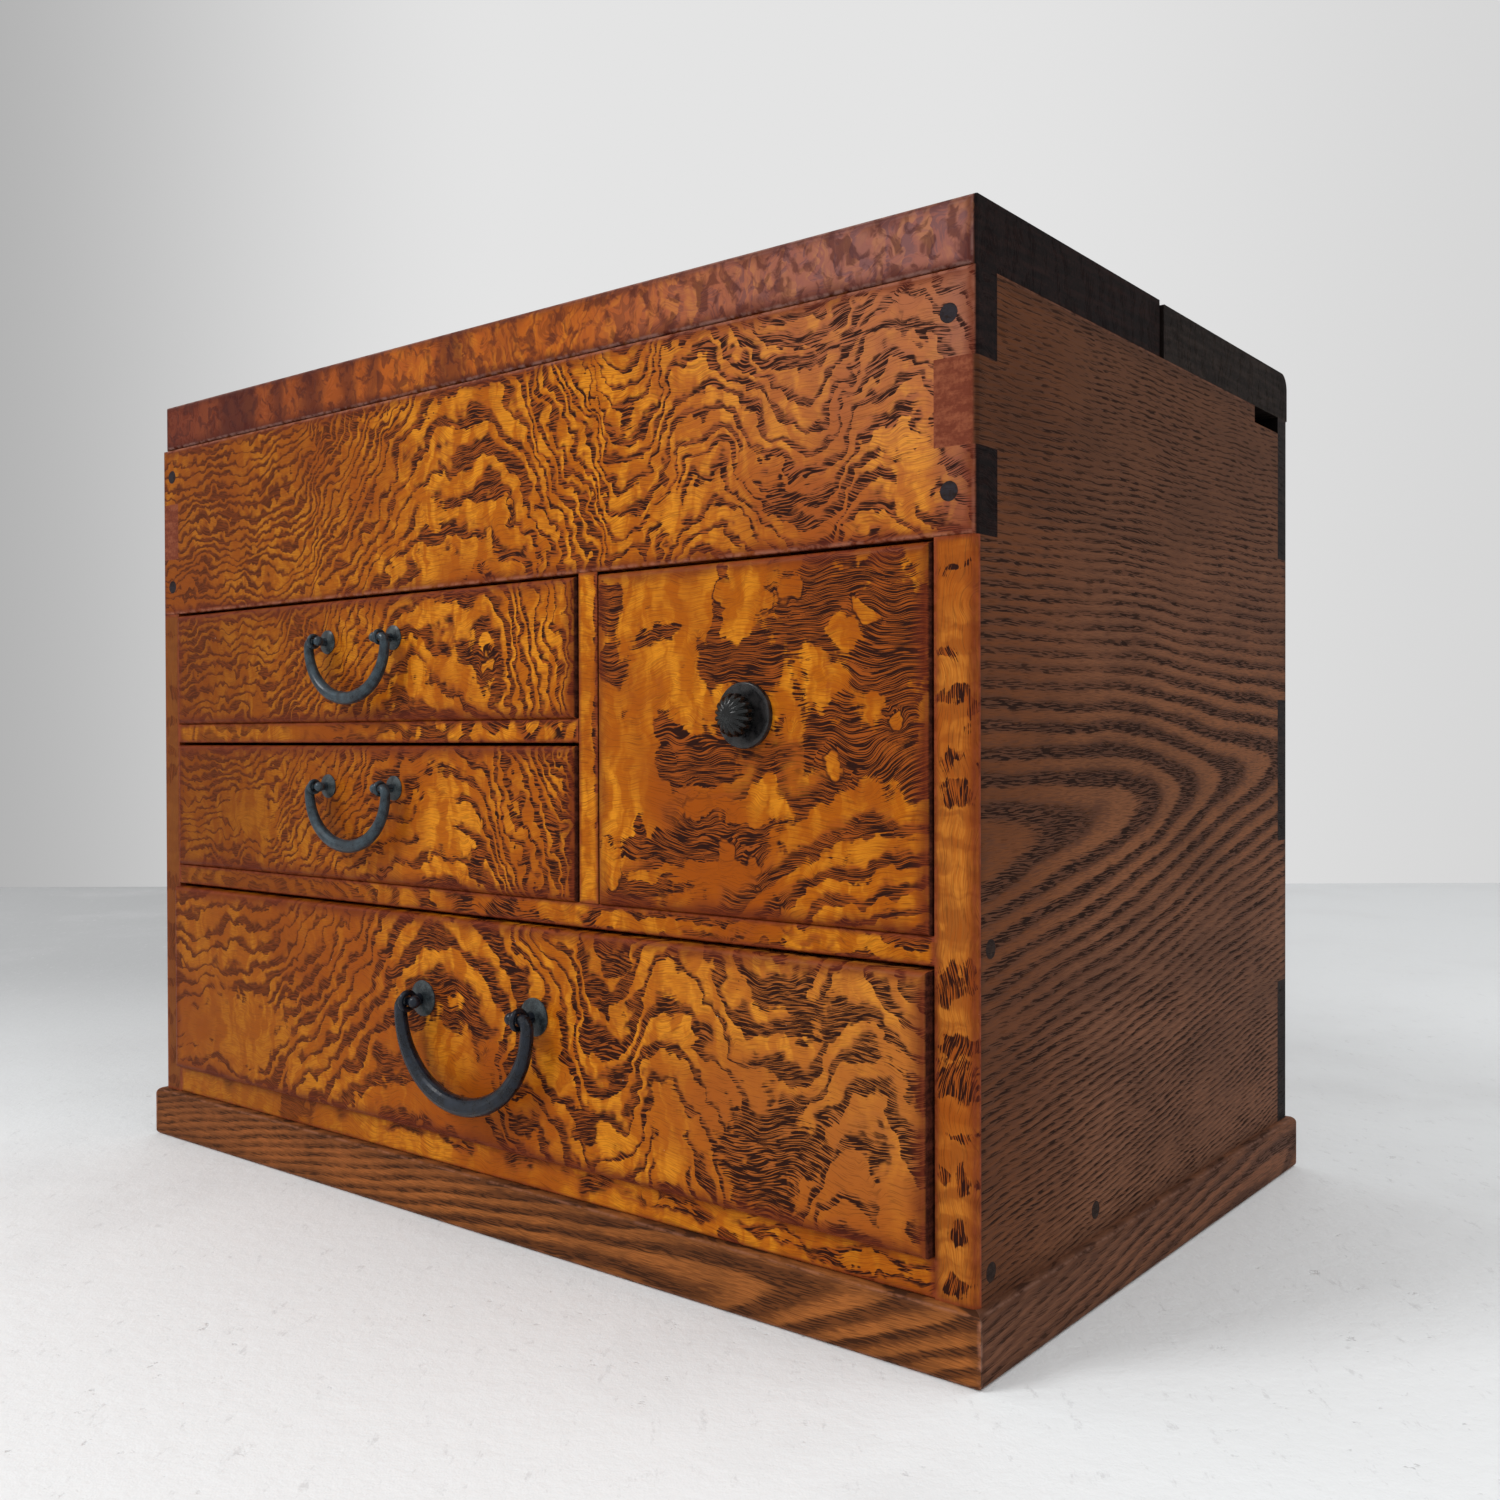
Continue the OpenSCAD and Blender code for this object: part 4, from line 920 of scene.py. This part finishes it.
# painted shade: the ruler's ledge and fence are nearly black, as shade in the slot
ledgeShadeTint = {
    "late": paint(26, 18, 14), "far": paint(24, 17, 13), "early": paint(18, 13, 11),
    "pore": paint(10, 8, 8), "grime": paint(14, 10, 9), "rubbed": paint(34, 25, 20),
}
dressPlain("ruler_ledge", 0, 1, ledgeShadeTint)
dressPlain("ruler_fence", 0, 2, ledgeShadeTint)
print("case and drawers dressed")

# Pegs and iron

pegTint = {
    "late": paint(52, 44, 44), "early": paint(38, 32, 34), "pore": paint(20, 18, 20),
    "end": paint(46, 42, 46), "grime": paint(30, 26, 28), "rubbed": paint(70, 62, 60),
}
dressPlain("front_pegs", 1, 2, pegTint, "front_peg_wood")
dressPlain("side_pegs", 0, 2, dict(pegTint, end=paint(34, 25, 22), endPale=paint(54, 40, 34)),
           "side_peg_wood")
# the small pulls' iron is lighter than the large pull's: a painted highlight spread over them
smallPullTint = {"dark": paint(30, 39, 46), "light": paint(54, 68, 76), "roughness": 0.36}
plateTint = {"dark": paint(26, 32, 36), "light": paint(66, 74, 76), "roughness": 0.42}
knobPlateTint = {"dark": paint(18, 18, 20), "light": paint(50, 48, 48), "dents": 0.35,
                 "roughness": 0.34, "rust": paint(58, 42, 36)}
knobTint = {"dark": paint(9, 10, 10), "light": paint(22, 24, 24), "dents": 0.06, "roughness": 0.24,
            "metallic": 0.0, "specular": 0.15, "coat": 0.3, "coatRoughness": 0.1}
knobIron = ironMaterial("knob_iron", knobTint)
dress(["knob", "knob_rove"], knobIron)
dress(["knob_plate"], ironMaterial("knob_plate_iron", knobPlateTint))
dress(["hinge_leaves_rear", "hinge_leaves_lid", "hinge_pins"],
      ironMaterial("hinge_iron", {"roughness": 0.5}))
dress([name for name in nodes if name.endswith("_plates")], ironMaterial("plate_iron", plateTint))
dress(["wide_posts", "wide_bail"], ironMaterial("large_pull_iron", {}))
dress(["upper_posts", "upper_bail", "middle_posts", "middle_bail"],
      ironMaterial("small_pull_iron", smallPullTint))


def meshObject(name, vertices, faces, material):
    mesh = bpy.data.meshes.new(name)
    mesh.from_pydata(vertices, [], faces)
    mesh.materials.append(material)
    made = bpy.data.objects.new(name, mesh)
    bpy.context.scene.collection.objects.link(made)
    return made


knobHead = {
    "ribs": 16,
    "perRib": 16,
    "rows": 44,
    "bite": 0.16,          # depth of a groove as a share of the radius
    "edge": 4.0,           # how narrow a groove is
    "reach": 0.0066,       # length of the head
    "radius": 0.0049,
    "fullness": 0.85,      # below 1 is fuller than a ball
    "neck": 0.0015,
    "neckLength": 0.0008,
    "body": "tall_drawer",
    "slot": "knob_iron",
}


def makeKnobHead():
    # the fluted head over its neck and stem, turned and chased as one skin
    low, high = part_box("knob")
    middleX = (low[0] + high[0]) / 2
    middleZ = (low[2] + high[2]) / 2
    plate = low[1] + knobHead["neckLength"] + knobHead["reach"]
    # radius, place from front to back, depth of the grooves
    profile = [(knobHead["neck"], high[1], 0.0), (knobHead["neck"], plate, 0.0)]
    start = math.asin(knobHead["neck"] / knobHead["radius"])
    for row in range(knobHead["rows"] + 1):
        turn = start + (math.pi - start) * row / knobHead["rows"]
        radius = knobHead["radius"] * math.sin(turn) ** knobHead["fullness"]
        y = plate - knobHead["neckLength"] - knobHead["reach"] * ((1 - math.cos(turn)) / 2)
        profile.append((radius, y, knobHead["bite"]))
    around = knobHead["ribs"] * knobHead["perRib"]
    vertices = []
    for radius, y, bite in profile[:-1]:
        for step in range(around):
            angle = 2 * math.pi * step / around
            groove = abs(math.cos(math.pi * step / knobHead["perRib"])) ** knobHead["edge"]
            reach = radius * (1 - bite * groove)
            vertices.append((middleX + reach * math.cos(angle), y, middleZ + reach * math.sin(angle)))
    rings = len(profile) - 1
    faces = []
    for ring in range(rings - 1):
        for step in range(around):
            after = (step + 1) % around
            faces.append((ring * around + step, ring * around + after,
                          (ring + 1) * around + after, (ring + 1) * around + step))
    tip = len(vertices)
    vertices.append((middleX, profile[-1][1], middleZ))
    for step in range(around):
        faces.append((tip, (rings - 1) * around + step, (rings - 1) * around + (step + 1) % around))
    back = len(vertices)
    vertices.append((middleX, high[1], middleZ))
    for step in range(around):
        faces.append((back, (step + 1) % around, step))
    head = meshObject("knob_head", vertices, faces, knobIron)
    shape = bmesh.new()
    shape.from_mesh(head.data)
    bmesh.ops.recalc_face_normals(shape, faces=shape.faces)
    for face in shape.faces:
        face.smooth = True
    shape.to_mesh(head.data)
    shape.free()
    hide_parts("knob")
    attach(head, knobHead["body"])


makeKnobHead()
print("pegs and iron dressed")


# Floor, wall, lamps and camera

cameraPlace = {
    "location": (0.2931, -0.3408, 0.129),
    "azimuth": 38.352,
    "pitch": -0.512,
    "roll": -0.163,
    "focal": 1446.74,      # in pixels of a frame 1500 wide
    "frame": 1500,
    "sensor": 36,
}
azimuth, pitch, roll = (math.radians(cameraPlace[turn]) for turn in ("azimuth", "pitch", "roll"))
level = Vector((-math.sin(azimuth), math.cos(azimuth), 0))
acrossView = Vector((math.cos(azimuth), math.sin(azimuth), 0))
upright = Vector((0, 0, 1))
forward = level * math.cos(pitch) + upright * math.sin(pitch)
above = upright * math.cos(pitch) - level * math.sin(pitch)
sideways = acrossView * math.cos(roll) + above * math.sin(roll)
above = above * math.cos(roll) - acrossView * math.sin(roll)

lens = bpy.data.cameras.new("camera")
lens.lens = cameraPlace["focal"] / cameraPlace["frame"] * cameraPlace["sensor"]
lens.sensor_width = cameraPlace["sensor"]
lens.clip_start = 0.01
lens.clip_end = 20
camera = bpy.data.objects.new("camera", lens)
camera.matrix_world = Matrix.Translation(cameraPlace["location"]) @ Matrix(
    (sideways, above, -forward)).transposed().to_4x4()
bpy.context.scene.collection.objects.link(camera)
bpy.context.scene.camera = camera


studio = {
    "floorHalf": 3.0,
    "wallDistance": 1.26,
    "wallHeight": 2.4,
    "wallFoot": -0.02,     # a little under the floor
    "floorPale": paint(228, 230, 231),
    "floorFarShade": paint(168, 169, 170),
    "floorScuff": paint(194, 194, 195),
    # the wall's painted glow, and its painted shade towards the sides
    "wallPale": paint(228, 228, 228),
    "wallSideShade": paint(174, 174, 174),
    "world": 0.85,
    # place, target, size and power of each lamp
    "lamps": {"key": ((-1.3, -2.1, 2.3), (0, 0, 0.1), 1.0, 43.0),
              "fill": ((1.2, 0.2, 1.6), (0.3, 0, 0), 1.4, 6.5)},
}


def floorMaterial():
    # pale plaster: broad clouds, small pits and scuffs, with painted shade greyer far off to the left
    material, shader, place = startMaterial("plaster_floor")
    x, y, _ = split(place)
    left = smooth(x, 420.0, -380.0)
    farShade = times(smooth(y, 360.0, 850.0), timesPlus(left, 0.55, 0.45))
    tone = mixColour(farShade, studio["floorPale"], studio["floorFarShade"])
    cloud = noise(place, 0.006, 4.0, 0.6)
    tone = mixColour(smooth(cloud, 0.5, 0.75, 0.0, 0.35), tone, studio["floorScuff"])
    grain = noise(place, 0.16, 4.0, 0.7)
    pits = times(smooth(grain, 0.36, 0.3), smooth(noise(place, 0.012, 3.0, 0.6), 0.48, 0.62))
    tone = mixColour(times(pits, 0.8), tone, studio["floorScuff"])
    scratch = noise(vectorCalc("MULTIPLY", place, (0.5, 0.18, 1.0)), 0.5, 4.0, 0.75)
    tone = mixColour(smooth(scratch, 0.58, 0.72, 0.0, 0.5), tone, studio["floorScuff"])
    feed(shader.inputs["Base Color"], tone)
    setShader(shader, {"Roughness": 0.7, "Specular IOR Level": 0.1})
    bumpFrom(shader, timesPlus(pits, -0.8, grain), 0.35, 0.0012)
    return material


def wallMaterial():
    # painted light: camera and glossy rays see a glowing wall, with painted shade greyer towards both
    # sides; other rays see a plain pale wall
    material = bpy.data.materials.new("pale_wall")
    material.use_nodes = True
    material.node_tree.nodes.clear()
    bench["tree"] = material.node_tree
    x = split(addNode("TexCoord").outputs["Object"])[0]
    tone = mixColour(smooth(x, -0.75, -0.2), studio["wallSideShade"], studio["wallPale"])
    tone = mixColour(smooth(x, 0.15, 0.75, 0.0, 0.3), tone, studio["wallSideShade"])
    glow = addNode("Emission", {"Color": tone, "Strength": 1.0})
    plain = addNode("BsdfDiffuse", {"Color": studio["wallPale"]})
    ray = addNode("LightPath").outputs
    seen = calc("MAXIMUM", ray["Is Camera Ray"], ray["Is Glossy Ray"])
    mixed = addNode("MixShader", {0: seen, 1: plain.outputs[0], 2: glow.outputs[0]})
    addNode("OutputMaterial", {"Surface": mixed.outputs[0]})
    return material


half = studio["floorHalf"]
foot, top = studio["wallFoot"], studio["wallHeight"]
floor = meshObject("floor", [(-half, -half, 0), (half, -half, 0), (half, half, 0), (-half, half, 0)],
                   [(0, 1, 2, 3)], floorMaterial())
wall = meshObject("wall", [(-half, 0, foot), (half, 0, foot), (half, 0, top), (-half, 0, top)],
                  [(0, 1, 2, 3)], wallMaterial())
# both stand square to the camera, and the floor's own zero is under it
stand = Vector(cameraPlace["location"])
turned = Matrix.Rotation(azimuth, 4, "Z")
for piece, place in ((floor, stand), (wall, stand + level * studio["wallDistance"])):
    piece.matrix_world = Matrix.Translation((place.x, place.y, 0)) @ turned


def areaLamp(name, location, target, size, power):
    data = bpy.data.lights.new(name, "AREA")
    data.size = size
    data.energy = power
    lamp = bpy.data.objects.new(name, data)
    lamp.location = location
    aim = Vector(target) - Vector(location)
    lamp.rotation_mode = "QUATERNION"
    lamp.rotation_quaternion = aim.to_track_quat("-Z", "Y")
    bpy.context.scene.collection.objects.link(lamp)


for name, settings in studio["lamps"].items():
    areaLamp(name, *settings)

world = bpy.data.worlds.new("studio")
world.use_nodes = True
bpy.context.scene.world = world
background = next(node for node in world.node_tree.nodes if node.type == "BACKGROUND")
background.inputs["Color"].default_value = (1.0, 1.0, 1.0, 1.0)
background.inputs["Strength"].default_value = studio["world"]
bpy.context.scene.view_settings.view_transform = "Standard"
print("studio set")
